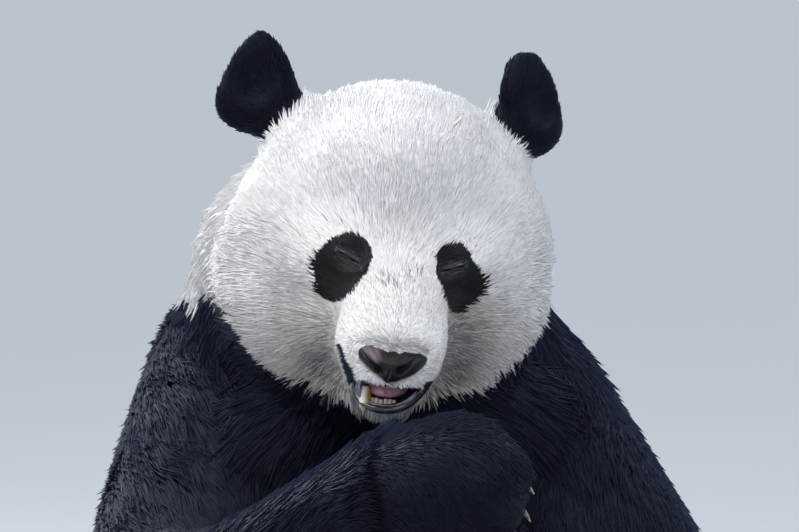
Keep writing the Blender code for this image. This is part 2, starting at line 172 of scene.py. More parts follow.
def modified(mesh, kind, **settings):
    """The mesh as one modifier leaves it."""
    carrier = place_object("carrier", mesh)
    modifier = carrier.modifiers.new(kind, kind)
    for name, value in settings.items():
        setattr(modifier, name, value)
    result = bpy.data.meshes.new_from_object(
        carrier.evaluated_get(bpy.context.evaluated_depsgraph_get()))
    bpy.data.objects.remove(carrier)
    bpy.data.meshes.remove(mesh)
    return result


def add_object(name, mesh, material, replaces=()):
    """A finished piece that rides on the body."""
    piece = place_object(name, mesh)
    mesh.materials.append(material)
    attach(piece, "root")
    if replaces:
        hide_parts(*replaces)
    return piece


print("CAD nodes to work from:", len(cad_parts))

# %% [markdown]
# ## The head's own frame
# The head is turned a little to its left, bent down and tilted. Working in a frame that is
# turned with it keeps the two sides of the face the same: x to the animal's left, y to the
# back of the skull, z to the crown. The two eyes in the CAD say where that frame sits.

# %% Find the head's frame
HEAD_YAW, HEAD_PITCH, HEAD_ROLL = (math.radians(a) for a in (4.0, 8.0, 5.5))
EYE_PLACE = Vector((0.052, -0.110, 0.018))     # the animal's left eye, in the head's frame
EYE_RADIUS = 0.0125


def middle_of(name):
    low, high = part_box(name)
    return (low + high) / 2


head_turn = (Matrix.Rotation(HEAD_YAW, 4, "Z") @ Matrix.Rotation(HEAD_PITCH, 4, "X")
             @ Matrix.Rotation(HEAD_ROLL, 4, "Y"))
eyes_middle = (middle_of("eye_left") + middle_of("eye_right")) / 2
head_origin = eyes_middle - head_turn.to_3x3() @ Vector((0, EYE_PLACE.y, EYE_PLACE.z))
head_pose = Matrix.Translation(head_origin) @ head_turn
TURN = np.array(head_turn.to_3x3())
ORIGIN = np.array(head_origin)


def to_head(points):
    """World points (an array) in the head's frame."""
    return (points - ORIGIN) @ TURN


def from_head(on_head):
    """The way back to the world."""
    return on_head @ TURN.T + ORIGIN


print("head's middle, mm:", [round(1000 * v) for v in head_origin])

# %% [markdown]
# ## One skin
# The flesh nodes of the CAD are cut apart where a limb bends, and a live body has no such
# seams. Each is copied, its loose triangles are merged, and it is grown by a hair so that
# neighbours overlap. A voxel remesh then gives one closed surface of even quads. A sculptor
# would start in the same way, with a coarse base that is refined where the detail goes.

# %% Gather the flesh nodes
FLESH = ["trunk", "tail", "neck", "head", "jaw"] + [
    part + side for part in ("ear", "upper_arm", "forearm", "forepaw", "thigh", "shank", "hind_foot")
    for side in ("_left", "_right")]
WELD = 1e-5
SEAM_OVERLAP = 0.0008

flesh = bmesh.new()
flesh_owner = []
for number, name in enumerate(FLESH):
    part = bmesh.new()
    part.from_mesh(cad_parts[name].data)
    bmesh.ops.remove_doubles(part, verts=part.verts, dist=WELD)
    part.normal_update()
    for vertex in part.verts:
        vertex.co += vertex.normal * SEAM_OVERLAP
    flesh_owner += [number] * pour(part, flesh)
print("flesh:", len(flesh_owner), "faces of", len(FLESH), "nodes")

# %% [markdown]
# The parting of the lips would leave thin walls and stray edges, so four balls fill it for
# now and the muzzle's front is one clean surface. It is pressed in again further down.

# %% Fill the mouth and fuse the flesh
SKIN_GRAIN = 0.0085
# each ball: its middle in the head's frame, and its half sizes
MOUTH_FILL = (((-0.024, -0.120, -0.106), (0.021, 0.030, 0.017)),
              ((-0.002, -0.125, -0.106), (0.030, 0.034, 0.017)),
              ((0.022, -0.122, -0.106), (0.020, 0.034, 0.017)),
              ((-0.002, -0.126, -0.115), (0.031, 0.034, 0.0165)))
for middle, half in MOUTH_FILL:
    faces_before = len(flesh.faces)
    bmesh.ops.create_uvsphere(flesh, u_segments=32, v_segments=20, radius=1.0,
                              matrix=head_pose @ Matrix.Translation(middle) @ Matrix.Diagonal((*half, 1)))
    flesh_owner += [FLESH.index("jaw")] * (len(flesh.faces) - faces_before)
flesh_tree = BVHTree.FromBMesh(flesh)
fused = modified(mesh_from("flesh", flesh), "REMESH", mode="VOXEL", voxel_size=SKIN_GRAIN)
print("fused skin:", len(fused.vertices), "points")

# %% [markdown]
# The front of the head is cut finer, and the eyes and mouth finer again, and these new
# points are laid back on the CAD surface.

# %% Refine the head
FACE_FINE = 0.105               # metres round the muzzle and eyes that get the second cut
MUZZLE_MIDDLE = Vector((0, -0.135, -0.035))
to_head_matrix = head_pose.inverted()
skin = bmesh.new()
skin.from_mesh(fused)
bpy.data.meshes.remove(fused)


def is_front_of_head(point):
    return point.y < 0.03 and -0.16 < point.z and abs(point.x) < 0.2


def is_face_middle(point):
    return point.y < -0.03 and (point - MUZZLE_MIDDLE).length < FACE_FINE


for test in (is_front_of_head, is_face_middle):
    chosen = {edge for face in skin.faces if test(to_head_matrix @ face.calc_center_median())
              for edge in face.edges}
    bmesh.ops.subdivide_edges(skin, edges=list(chosen), cuts=1, use_grid_fill=True)
bmesh.ops.triangulate(skin, faces=[f for f in skin.faces if len(f.verts) > 4])
head_points = [v for v in skin.verts if is_front_of_head(to_head_matrix @ v.co)]
for vertex in head_points:
    vertex.co = flesh_tree.find_nearest(vertex.co)[0]
soften(skin, head_points, 0.5, 6)
soften(skin, skin.verts, 0.4, 3)
skin_mesh = mesh_from("skin", skin)
print("skin:", len(skin_mesh.vertices), "points,", len(skin_mesh.polygons), "faces")

# %% [markdown]
# ## Which part of the body a point is on
# The coat differs from part to part, so each point of the skin carries a share of each CAD
# node: all of the nearest one at first, then spread to its neighbours a few times, which
# blends one part's coat into the next.

# %% Shares of each part


def edges_of(mesh):
    return read(mesh.edges, "vertices", 2, np.int32)


def spread(values, edges, steps, share=0.5):
    """Each point's value moves towards the mean of its neighbours."""
    count = np.bincount(edges.ravel(), minlength=len(values))[:, None]
    flat = values.reshape(len(values), -1).astype(float)
    for _ in range(steps):
        total = np.empty_like(flat)
        for column in range(flat.shape[1]):
            total[:, column] = (
                np.bincount(edges[:, 0], flat[edges[:, 1], column], len(flat))
                + np.bincount(edges[:, 1], flat[edges[:, 0], column], len(flat)))
        flat += share * (total / np.maximum(count, 1) - flat)
    return flat.reshape(values.shape)


skin_edges = edges_of(skin_mesh)
points = read(skin_mesh.vertices, "co", 3).astype(float)
shares = np.zeros((len(points), len(FLESH)))
for i, point in enumerate(points):
    shares[i, flesh_owner[flesh_tree.find_nearest(point)[2]]] = 1
shares = spread(shares, skin_edges, 8)


def share_in(shares, *names):
    """The share of the parts whose names start so, from a table of shares."""
    return sum(shares[:, i] for i, n in enumerate(FLESH) if n.startswith(names))


def share_of(*names):
    return share_in(shares, *names)


def smooth_step(low, high, value):
    t = np.clip((value - low) / (high - low), 0, 1)
    return t * t * (3 - 2 * t)


print("points on the head:", int((share_of("head", "jaw") > 0.5).sum()))

# %% [markdown]
# ## How deep the coat is
# The table gives, for each part, the depth that the coat stands off the skin, and the
# length of one lock, which is more because it lies over. Thin locks stand close together
# on the head, and coarse ones further apart on the back.

# %% The coat's table
# part: (depth, length of a lock, width of a lock, locks on a square metre)
COAT = {
    "trunk": (0.022, 0.058, 0.0031, 48e3),
    "tail": (0.013, 0.040, 0.0036, 60e3),
    "neck": (0.020, 0.054, 0.0027, 125e3),
    "head": (0.011, 0.030, 0.0010, 500e3),
    "jaw": (0.008, 0.024, 0.0010, 600e3),
    "ear": (0.006, 0.013, 0.0009, 590e3),
    "upper_arm": (0.016, 0.048, 0.0019, 180e3),
    "forearm": (0.014, 0.044, 0.0017, 195e3),
    "forepaw": (0.007, 0.024, 0.0013, 330e3),
    "thigh": (0.019, 0.052, 0.0032, 52e3),
    "shank": (0.014, 0.040, 0.0032, 64e3),
    "hind_foot": (0.006, 0.018, 0.0022, 120e3),
}


def coat_value(column):
    return sum(values[column] * share_of(part) for part, values in COAT.items())


print("mean depth of the coat, mm: %.1f" % (1000 * coat_value(0).mean()))

# %% [markdown]
# ## Outlines on the face
# The nose, the mouth and the eyes are given as shapes in the plane of the face. Everything
# near them asks how far it is from their edges: the coat's length, the colour, the skin.

# %% Eyes, mouth and nose as outlines
NOSE_MIDDLE = np.array((-0.002, -0.187, -0.066))      # in the head's frame
# each eye: x and z of its slit's middle, and how far the slit slopes down to the nose
SLITS = {-1: (-0.0478, 0.0163, math.radians(21)), 1: (0.0536, 0.0140, math.radians(15))}
LID_ZONE = (0.0165, 0.0105)            # half length and half height of the bare lids
# the opening of the mouth, x and z in millimetres, from its right corner down and round
MOUTH_OUTLINE = np.array((
    (-31, -91), (-31.5, -99), (-30.5, -106.5), (-27.5, -112.5), (-22.5, -117), (-15.5, -119.4),
    (-6.5, -120), (3.5, -119.6), (12.5, -117), (20, -112), (26.5, -105), (31, -95), (21, -90.5),
    (8, -91), (-3, -91.8), (-11, -91), (-17.5, -89.3), (-24, -88.3), (-28.5, -88.8))) / 1000
# the edge of the nose's bare leather, in the same way
NOSE_OUTLINE = np.array((
    (-36.5, -57.5), (-34.5, -64), (-29.5, -70), (-22.5, -75.3), (-15, -79.5), (-9.5, -82.5),
    (-5, -86.5), (0.5, -85.5), (9.5, -82.3), (19, -78.7), (27.5, -72.5), (32.5, -66), (34.5, -61),
    (28, -58.8), (18, -58), (5, -58.8), (-6, -58.5), (-14, -56), (-24, -54.5), (-32, -54.3))) / 1000


def line_distance(flat, start, end):
    """Distance from a straight line between two points of a plane."""
    start, end = np.array(start), np.array(end)
    along = np.clip((flat - start) @ (end - start) / ((end - start) @ (end - start)), 0, 1)
    return np.linalg.norm(flat - start - along[:, None] * (end - start), axis=1)


def outline_distance(flat, outline):
    """Distance from a closed outline in a plane, negative inside it."""
    nearest = np.full(len(flat), 1.0)
    crossings = np.zeros(len(flat), int)
    for start, end in zip(outline, np.roll(outline, -1, axis=0)):
        nearest = np.minimum(nearest, line_distance(flat, start, end))
        spans = (start[1] > flat[:, 1]) != (end[1] > flat[:, 1])
        meets = start[0] + (flat[:, 1] - start[1]) * (end[0] - start[0]) / (end[1] - start[1] + 1e-12)
        crossings += spans & (flat[:, 0] < meets)
    return np.where(crossings % 2 == 1, -nearest, nearest)


def along_slit(on_head, side):
    """Each point's place along an eye's slit, towards the nose, and above it."""
    x, z, tilt = SLITS[side]
    right, up = on_head[:, 0] - x, on_head[:, 2] - z
    return (-side * math.cos(tilt) * right - math.sin(tilt) * up,
            -side * math.sin(tilt) * right + math.cos(tilt) * up)


def to_lids(on_head):
    """Distance from the nearer eye's slit, 1 at the edge of the bare lids."""
    gaps = [np.hypot(u / LID_ZONE[0], v / LID_ZONE[1])
            for u, v in (along_slit(on_head, side) for side in SLITS)]
    return np.where(on_head[:, 1] < -0.06, np.min(gaps, axis=0), 9.0)


def to_mouth(on_head):
    """Distance from the opening of the mouth, negative inside it."""
    gap = outline_distance(on_head[:, [0, 2]], MOUTH_OUTLINE)
    return np.where(on_head[:, 1] < -0.09, gap, 1.0)


print("nose, mm wide and high:", (1000 * np.ptp(NOSE_OUTLINE, axis=0)).round(1))
print("mouth, mm wide and high:", (1000 * np.ptp(MOUTH_OUTLINE, axis=0)).round(1))

# %% [markdown]
# The hair is a few millimetres long on the muzzle and lids, longer over the forehead, and
# longest on the cheeks and neck. In the valley between the muzzle and the cheek the skin
# lies deeper still.

# %% Depth of the coat over the head and body


def by_face(on_head, muzzle, brow, cheek):
    """A value that runs from the muzzle and lids to the brow, then to the cheeks and nape."""
    face = smooth_step(0.045, 0.150, np.linalg.norm(on_head - NOSE_MIDDLE, axis=1))
    face = face * (0.10 + 0.90 * smooth_step(1.0, 3.2, to_lids(on_head)))
    edge = np.hypot(on_head[:, 0] / 0.165, (on_head[:, 2] + 0.02) / 0.125)
    outer = smooth_step(0.60, 0.95, edge) * smooth_step(0.05, -0.03, on_head[:, 2])
    outer = np.maximum(outer, smooth_step(-0.03, 0.06, on_head[:, 1]))
    value = muzzle + (brow - muzzle) * face
    return value + (cheek - value) * outer * face


def body_value(column, muzzle, brow, cheek):
    """A coat value for every point, with the head's own spread of it."""
    value = coat_value(column)
    on_head = to_head(points)
    return value + share_of("head", "jaw") * (by_face(on_head, muzzle, brow, cheek) - value)


depth = body_value(0, 0.0026, 0.0105, 0.020)
VALLEY_TOP, VALLEY_FOOT = (0.076, -0.040), (0.066, -0.110)   # x and z beside the muzzle
VALLEY_WIDTH, VALLEY_DEPTH = 0.026, 0.015
on_head = to_head(points)
one_side = np.column_stack((np.abs(on_head[:, 0]), on_head[:, 2]))
beside = line_distance(one_side, VALLEY_TOP, VALLEY_FOOT)
valley = VALLEY_DEPTH * np.exp(-(beside / VALLEY_WIDTH) ** 2)
valley *= smooth_step(-0.04, -0.08, on_head[:, 1]) * smooth_step(-0.150, -0.128, on_head[:, 1])
depth += valley * share_of("head", "jaw")
print("coat depth, mm: %.1f to %.1f" % (1000 * depth.min(), 1000 * depth.max()))

# %% [markdown]
# ## The skin under the coat
# The skin goes in along its own normals by the coat's depth. A long step would cross over
# itself in the folds, so it goes in five short ones, and is relaxed a little after each.

# %% Set the skin in
PUSH_STEPS = 5
skin_depth = spread(depth, skin_edges, 6)
start_facing = read(skin_mesh.polygons, "normal", 3)
for _ in range(PUSH_STEPS):
    normals = read(skin_mesh.vertices, "normal", 3)
    points = points - normals * (skin_depth / PUSH_STEPS)[:, None]
    firm = (0.15 + 0.85 * smooth_step(0.004, 0.012, skin_depth))[:, None]
    points = points + firm * (spread(points, skin_edges, 2, 0.4) - points)
    move_points(skin_mesh, points)
print("skin set in, mm on average: %.1f" % (1000 * skin_depth.mean()))

# %% [markdown]
# A crease can still fold over: its faces then look the other way than they did before.
# Those are relaxed, with what lies round them, until they lie open again.

# %% Open the folds
OPENING_ROUNDS = 10
FOLDED_BELOW = 0.2                    # cosine between a face's old and new directions
face_corners = read(skin_mesh.loops, "vertex_index", 1, np.int32)
corner_face = np.repeat(np.arange(len(start_facing)),
                        read(skin_mesh.polygons, "loop_total", 1, np.int32))
folded_counts = []
for _ in range(OPENING_ROUNDS):
    folded = (read(skin_mesh.polygons, "normal", 3) * start_facing).sum(1) < FOLDED_BELOW
    folded_counts.append(int(folded.sum()))
    near_fold = np.zeros(len(points))
    near_fold[face_corners[folded[corner_face]]] = 1
    near_fold = np.clip(4 * spread(near_fold, skin_edges, 6), 0, 1)[:, None]
    points = points + near_fold * (spread(points, skin_edges, 4) - points)
    move_points(skin_mesh, points)
print("faces folded over, round by round:", folded_counts)

# %% [markdown]
# ## The opening of the mouth
# The mouth is parted on a bite. The skin inside its outline is carried back into the head,
# which leaves a pocket for the tongue and teeth. A sculptor would press it in the same way.

# %% Press in the mouth
MOUTH_DEPTH = 0.060
MUZZLE_FRONT = -0.160                 # y of the muzzle's skin at the mouth
on_head = to_head(points)
inside = smooth_step(0.0000, -0.0035, to_mouth(on_head)) * share_of("head", "jaw")
on_head[:, 1] += inside * np.maximum(0.0, MUZZLE_FRONT + MOUTH_DEPTH - on_head[:, 1])
points = from_head(on_head)
print("points pressed in for the mouth:", int((inside > 0.5).sum()))

# %% [markdown]
# The nose is a piece of its own that sits on the muzzle. Round its edge the skin is brought
# forward, so that the short hair grows right up to the leather.

# %% Bring the muzzle to the nose pad's edge
NOSE_CENTRE = np.array((-0.0015, -0.1860, -0.0690))
NOSE_SIDES = 9.0                      # how fast the pad's edge falls back to each side
on_head = to_head(points)
by_nose = smooth_step(0.0140, 0.0030, outline_distance(on_head[:, [0, 2]], NOSE_OUTLINE))
by_nose *= smooth_step(-0.084, -0.076, on_head[:, 2]) * smooth_step(-0.15, -0.16, on_head[:, 1])
pad_edge = NOSE_CENTRE[1] + 0.0010 + NOSE_SIDES * (on_head[:, 0] - NOSE_CENTRE[0]) ** 2
on_head[:, 1] += by_nose * np.minimum(0.0, pad_edge - on_head[:, 1])
points = from_head(on_head)
around_nose = spread(by_nose, skin_edges, 6)[:, None]
points = points + around_nose * (spread(points, skin_edges, 5) - points)
print("points brought to the nose's edge:", int((by_nose > 0.5).sum()))

# %% [markdown]
# ## Lids
# The panda is nearly asleep over its food: each eye is a slit that slopes down to the nose.
# The lids are bare and wrinkled, with a rolled edge at the slit and creases above and below.
# They are finer than the skin round them, so each eye gets a grid of its own whose lines
# crowd towards the slit, laid on the skin and raised or pressed in by a sum of ridges. The
# ball shows at the bottom of the slit.

# %% Shape the lids
LID_REACH = (0.0215, 0.0150)           # half length and half height of the grid
SLIT_HALF = 0.0122
BALL_BEHIND = 0.0019                   # the ball's front lies this much behind the lids
LID_MIDDLE_RISE = 0.0021               # how far the lids' middle stands out of the skin
CAST_FROM = -0.4                       # y, well in front of the face
BACKWARD = Vector((0, 1, 0))
skin_in_head = BVHTree.FromPolygons([tuple(p) for p in to_head(points)],
                                    [tuple(f.vertices) for f in skin_mesh.polygons])


def ridge(gap, width):
    """1 on a line, falling away from it on both sides."""
    return np.exp(-(gap / width) ** 2)


def face_at(x, z):
    """Where a line straight back through x, z meets the skin, in the head's frame."""
    return skin_in_head.ray_cast(Vector((x, CAST_FROM, z)), BACKWARD)[0]


lids = bmesh.new()
EYES = {}
for side in SLITS:
    x, z, tilt = SLITS[side]
    lid = bmesh.new()
    bmesh.ops.create_grid(lid, x_segments=64, y_segments=56, size=1.0)
    flat = np.array([v.co for v in lid.verts])
    u = flat[:, 0] * LID_REACH[0]
    v = np.sign(flat[:, 1]) * np.abs(flat[:, 1]) ** 1.8 * LID_REACH[1]
    curl = v + 0.0005 * np.sin(math.pi * u / SLIT_HALF)
    within = smooth_step(SLIT_HALF, SLIT_HALF - 0.0025, np.abs(u))
    fade = np.exp(-(u / 0.0135) ** 4)
    rise = 0.0004 + 0.0017 * ridge(u, 0.0125) * ridge(v, 0.0080)
    # the rolled rims of the slit, then two creases above it and two below
    rise += 0.0007 * within * ridge(np.abs(curl) - 0.0014, 0.0008)
    rise -= 0.0011 * fade * ridge(curl - 0.0050 + 0.06 * u, 0.0008)
    rise -= 0.0007 * fade * ridge(curl - 0.0082, 0.0009)
    rise -= 0.0008 * fade * ridge(curl + 0.0043 + 0.0006 * np.sin(420 * u), 0.0008)
    rise -= 0.0006 * fade * ridge(curl + 0.0070 - 0.0005 * np.sin(330 * u), 0.0008)
    # fine wrinkles along the slit, and a fold of skin at each of its corners
    wrinkles = np.sin(5200 * curl + 2.2 * np.sin(300 * u))
    rise += 0.00022 * fade * wrinkles * smooth_step(0.002, 0.004, abs(curl))
    rise += 0.0011 * ridge(u + SLIT_HALF + 0.0018, 0.0012) * ridge(v - 0.0006, 0.0026)
    rise += 0.0010 * ridge(u - SLIT_HALF - 0.0004, 0.0026) * ridge(v + 0.0024, 0.0013)
    # the slit itself, and the grid's border, which dips under the skin
    rise -= 0.0040 * within * np.exp(-(curl / (0.00035 + 0.00045 * within)) ** 4)
    rise -= 0.0050 * smooth_step(0.82, 1.0, np.hypot(u / LID_REACH[0], v / LID_REACH[1]))
    across, up = (-side * math.cos(tilt), -math.sin(tilt)), (-side * math.sin(tilt), math.cos(tilt))
    for vertex, du, dv, out in zip(lid.verts, u, v, rise):
        hit = face_at(x + du * across[0] + dv * up[0], z + du * across[1] + dv * up[1])
        vertex.co = head_pose @ (hit - Vector((0, out, 0)))
    bmesh.ops.recalc_face_normals(lid, faces=lid.faces)
    EYES[side] = Vector((x, face_at(x, z).y - LID_MIDDLE_RISE + BALL_BEHIND + EYE_RADIUS, z))
    if lid.faces[0].normal.y > 0:
        bmesh.ops.reverse_faces(lid, faces=lid.faces)
    pour(lid, lids)
print("lids, faces:", len(lids.faces))

# %% [markdown]
# Behind each grid the skin is pressed back a few millimetres, so that it can't come through.
# Then grids and skin become one mesh.

# %% Join the lids to the skin
LID_POCKET = 0.007
on_head = to_head(points)
pressed = smooth_step(1.0, 0.8, to_lids(on_head)) * smooth_step(0.0, -0.05, on_head[:, 1])
on_head[:, 1] += LID_POCKET * pressed
points = from_head(on_head)
move_points(skin_mesh, points)
first_lid_point = len(skin_mesh.vertices)
both = bmesh.new()
both.from_mesh(skin_mesh)
pour(lids, both)
both.to_mesh(skin_mesh)
both.free()
print("lid points:", len(skin_mesh.vertices) - first_lid_point)
points = read(skin_mesh.vertices, "co", 3).astype(float)
skin_edges = edges_of(skin_mesh)
is_lid = np.arange(len(points)) >= first_lid_point
lid_shares = np.zeros((int(is_lid.sum()), len(FLESH)))
lid_shares[:, FLESH.index("head")] = 1
shares = np.vstack((shares, lid_shares))

# %% [markdown]
# ## Markings
# White with black ears, eye patches, forelegs with a band over the shoulders, and hind legs.
# One function says how dark a point is, and both the skin and the coat ask it, so they
# always agree. An eye patch is a leaning drop, so a closed outline gives each one: crisp
# towards the nose, frayed on the outside. A slow wave breaks up every edge.

# %% One function for the markings
# the eye patches, x and z in the head's frame in millimetres
PATCHES = [np.array(outline) / 1000 for outline in (
    ((-49, 42.5), (-37, 38.5), (-28.5, 30), (-26.5, 21), (-30, 7), (-40, -7.5), (-49, -22),
     (-55, -28.5), (-63, -30), (-75, -27), (-80, -20), (-82, -6), (-82, 9), (-76, 19), (-69, 30),
     (-60, 37)),
    ((50, 41), (60, 41), (69, 32), (74.5, 20), (81, 10), (88, 2), (88, -11), (83, -22),
     (76, -30.5), (65, -32), (56, -28), (49.5, -15), (43, -2), (37, 9.5), (36.5, 28), (41, 36)))]
FACE_EDGE = (0.160, 0.118, -0.020)    # half width, depth below and height of the cheeks' outline
# the black line beside the muzzle, down to the corner of the lips: black lip skin near the corner,
# painted shade of the valley higher up; x and z in millimetres
LIP_LINE_AND_VALLEY_SHADE = np.array(((50.4, -63.8), (45.8, -72.8), (40.4, -83.4), (36.5, -91.6),
                         (37.5, -105.0))) / 1000
PHILTRUM = ((-0.0050, -0.084), (-0.0056, -0.093))     # the dark line under the nose


def wave(points, size, seed):
    """A slow, irregular value from -1 to 1 whose bumps are about size metres across."""
    rng = np.random.default_rng(seed)
    total = np.zeros(len(points))
    for _ in range(5):
        direction = rng.normal(size=3)
        direction *= rng.uniform(0.7, 1.5) * math.pi / size / np.linalg.norm(direction)
        total += np.sin(points @ direction + rng.uniform(0, 2 * math.pi))
    return total / 2.6


def darkness(points, shares):
    """How dark the coat is at each point, 0 white to 1 black: on the body, and by the eyes and muzzle,
    where the line beside the muzzle is partly painted shade.
    """
    on_head = to_head(points)
    ragged = wave(points, 0.022, 11) + 0.5 * wave(points, 0.007, 12)
    front = smooth_step(-0.06, -0.08, on_head[:, 1])
    patch = np.min([outline_distance(on_head[:, [0, 2]], outline) for outline in PATCHES], axis=0)
    frayed = 0.0005 + 0.0024 * smooth_step(0.068, 0.086, np.abs(on_head[:, 0]))
    patch = smooth_step(0.0008, -0.0008, patch + frayed * ragged)
    ears = smooth_step(0.10, 0.20, share_in(shares, "ear") + 0.04 * ragged)
    height = points[:, 2]
    # the band over the shoulders: low on the chest, higher on the back
    back = smooth_step(-0.10, 0.14, points[:, 1])
    band_low = 0.430 + 0.100 * back + 0.012 * ragged
    band_high = 0.752 - 0.035 * back + 0.008 * ragged
    band = smooth_step(band_low - 0.006, band_low + 0.006, height)
    band *= smooth_step(band_high + 0.006, band_high - 0.006, height)
    face_edge = np.hypot(on_head[:, 0] / FACE_EDGE[0], (on_head[:, 2] - FACE_EDGE[2]) / FACE_EDGE[1])
    throat = smooth_step(0.98, 1.02, face_edge + 0.02 * ragged) * (on_head[:, 2] < FACE_EDGE[2])
    throat *= height < band_high
    thigh_dark = smooth_step(-0.10, -0.13, points[:, 1] + 0.012 * ragged)
    limbs = (share_in(shares, "upper_arm", "forearm", "forepaw", "shank", "hind_foot")
             + share_in(shares, "thigh") * thigh_dark + share_in(shares, "trunk", "neck") * band
             + share_in(shares, "head", "jaw") * throat)
    limbs = smooth_step(0.44, 0.54, limbs + 0.03 * ragged)
    one_side = np.column_stack((np.abs(on_head[:, 0]), on_head[:, 2]))
    # painted shade: the valley beside the muzzle is painted black, above the lip corner on the animal's
    # right side only; near the corner, black lip skin on both sides
    lip_line_and_shade = np.min([line_distance(one_side, *ends)
                     for ends in zip(LIP_LINE_AND_VALLEY_SHADE, LIP_LINE_AND_VALLEY_SHADE[1:])], axis=0)
    lip_line_and_shade_half = 0.0020 + 0.0014 * smooth_step(-0.066, -0.085, on_head[:, 2])
    lip_line_and_shade = smooth_step(0.0006, -0.0006, lip_line_and_shade - lip_line_and_shade_half + 0.0011 * ragged)
    lip_line_and_shade *= (on_head[:, 0] < 0) | (on_head[:, 2] < -0.086)
    philtrum = smooth_step(0.0016, 0.0008, line_distance(on_head[:, [0, 2]], *PHILTRUM))
    lines = np.maximum(lip_line_and_shade, philtrum) * smooth_step(-0.09, -0.10, on_head[:, 1])
    face = np.maximum(patch * front, lines) * (share_in(shares, "head", "jaw") > 0.4)
    return np.clip(np.maximum(ears, limbs), 0, 1), face


dark = np.max(darkness(points, shares), axis=0)
print("dark share of the skin's points: %.2f" % (dark > 0.5).mean())

# %% [markdown]
# The white coat isn't clean, and shade is painted into it. The cheeks beside the muzzle and the
# jowls are darkened, partly by real dirt and partly by painted shade under the cheeks and beside
# the muzzle, with more painted shade on the animal's left, away from the key lamp, and a few grey
# hairs stand on the bridge of the nose.

# %% One function for dirt, grey hairs and painted shade
SMUDGES = ((-0.0125, 0.0045), (-0.004, 0.004), (0.008, 0.0085), (0.0165, 0.0135))   # x and z
SMUDGE_REACH = 0.0110
BRIDGE_GREYNESS = 0.42                # the share of grey hairs in the middle of a smudge


def dirt_grey_and_shade(points, shares):
    """How dark the cheeks are, from real dirt and from painted shade, and what share of the hairs on the
    bridge is grey.
    """
    on_head = to_head(points)
    one_side = np.column_stack((np.abs(on_head[:, 0]), on_head[:, 2]))
    # painted shade, shared with real dirt: the cheeks darken along the valley beside the muzzle and
    # towards their lower edge, more on the animal's left
    fold = ridge(line_distance(one_side, (0.072, -0.045), (0.056, -0.115)), 0.030)
    low = smooth_step(-0.02, -0.10, on_head[:, 2]) * smooth_step(0.045, 0.060, np.abs(on_head[:, 0]))
    cheek = np.clip((0.60 + 0.14 * np.sign(on_head[:, 0])) * fold + 0.30 * low, 0, 0.8)
    cheek *= smooth_step(-0.15, -0.13, on_head[:, 1])
    # painted shade on the cheek just outside the muzzle's edge, below the nose
    edge_x = np.interp(on_head[:, 2], *LIP_LINE_AND_VALLEY_SHADE[3::-1, [1, 0]].T)
    outside = smooth_step(0.0, 0.004, one_side[:, 0] - edge_x)
    outside *= smooth_step(-0.056, -0.066, on_head[:, 2])
    cheek = np.maximum(cheek, 0.60 * outside * smooth_step(0.075, 0.055, one_side[:, 0]))
    cheek *= shares[:, FLESH.index("head")] + shares[:, FLESH.index("jaw")]
    gap = np.min([np.hypot(on_head[:, 0] - x, on_head[:, 2] - z) for x, z in SMUDGES], axis=0)
    bridge = BRIDGE_GREYNESS * smooth_step(SMUDGE_REACH, 0.001, gap) * (on_head[:, 1] < -0.1)
    return np.clip(cheek, 0, 1), bridge


# the cheeks' dirt and painted shade, and the grey hairs of the bridge
cheek_dirt_grey_and_shade, bridge_stain = dirt_grey_and_shade(points, shares)
print("dingy points of the skin: %d" % (cheek_dirt_grey_and_shade > 0.3).sum())

# %% [markdown]
# ## The lie of the coat
# Hair on the face sweeps back from the nose, over the brow and out over the cheeks. On the
# body it runs from head to tail, and down each limb to the toes. Each part gets a direction,
# the shares mix them, and the mix is laid flat on the skin and evened out.

# %% Give each point a direction
toes = {side: np.mean([middle_of(f"claw_{limb}_{n}") for n in range(1, 6)], axis=0)
        for side, limb in (("forepaw_left", "front_left"), ("forepaw_right", "front_right"),
                           ("hind_foot_left", "hind_left"), ("hind_foot_right", "hind_right"))}
NEXT_PART = {"upper_arm": "forearm", "forearm": "forepaw", "thigh": "shank", "shank": "hind_foot"}


def unit(vectors):
    return vectors / np.maximum(np.linalg.norm(vectors, axis=-1, keepdims=True), 1e-9)


def lie_of(name, points):
    """The direction the coat of one part runs, at each point."""
    part, _, side = name.rpartition("_")
    if name in ("head", "jaw"):
        nose = from_head(np.array((-0.002, -0.200, -0.055)))
        out = unit(points - nose)
        on_head = to_head(points)
        fall = smooth_step(0.06, 0.14, np.abs(on_head[:, 0])) * smooth_step(0.06, -0.04, on_head[:, 2])
        nape = smooth_step(0.0, 0.10, on_head[:, 1])
        down = (0.55 * fall + 0.9 * nape + (0.5 if name == "jaw" else 0))[:, None]
        return out + down * (0, 0.1, -1)
    if part == "ear":
        root = np.array(middle_of(name)) - 0.05 * unit(np.array(middle_of(name)) - ORIGIN)
        return unit(points - root)
    if name == "tail":
        return np.tile((0.0, 0.4, -1.0), (len(points), 1))
    if name == "neck":
        return unit((points - ORIGIN) * (1, 1, 0)) * 0.35 + (0, 0, -1)
    if name == "trunk":
        return unit((points - (0, 0.05, 0)) * (1, 1, 0)) * 0.2 + (0, 0, -1)
    goal = toes[name] if name in toes else np.array(middle_of(f"{NEXT_PART[part]}_{side}"))
    return np.tile(unit(goal - np.array(middle_of(name))), (len(points), 1))


skin_mesh.update()
skin_normals = read(skin_mesh.vertices, "normal", 3).astype(float)
lie = sum(shares[:, i:i + 1] * lie_of(name, points) for i, name in enumerate(FLESH))
for _ in range(6):
    lie = unit(lie - skin_normals * (lie * skin_normals).sum(1, keepdims=True))
    lie = spread(lie, skin_edges, 3)
lie = unit(lie - skin_normals * (lie * skin_normals).sum(1, keepdims=True))
print("lie of the coat on", len(lie), "points")

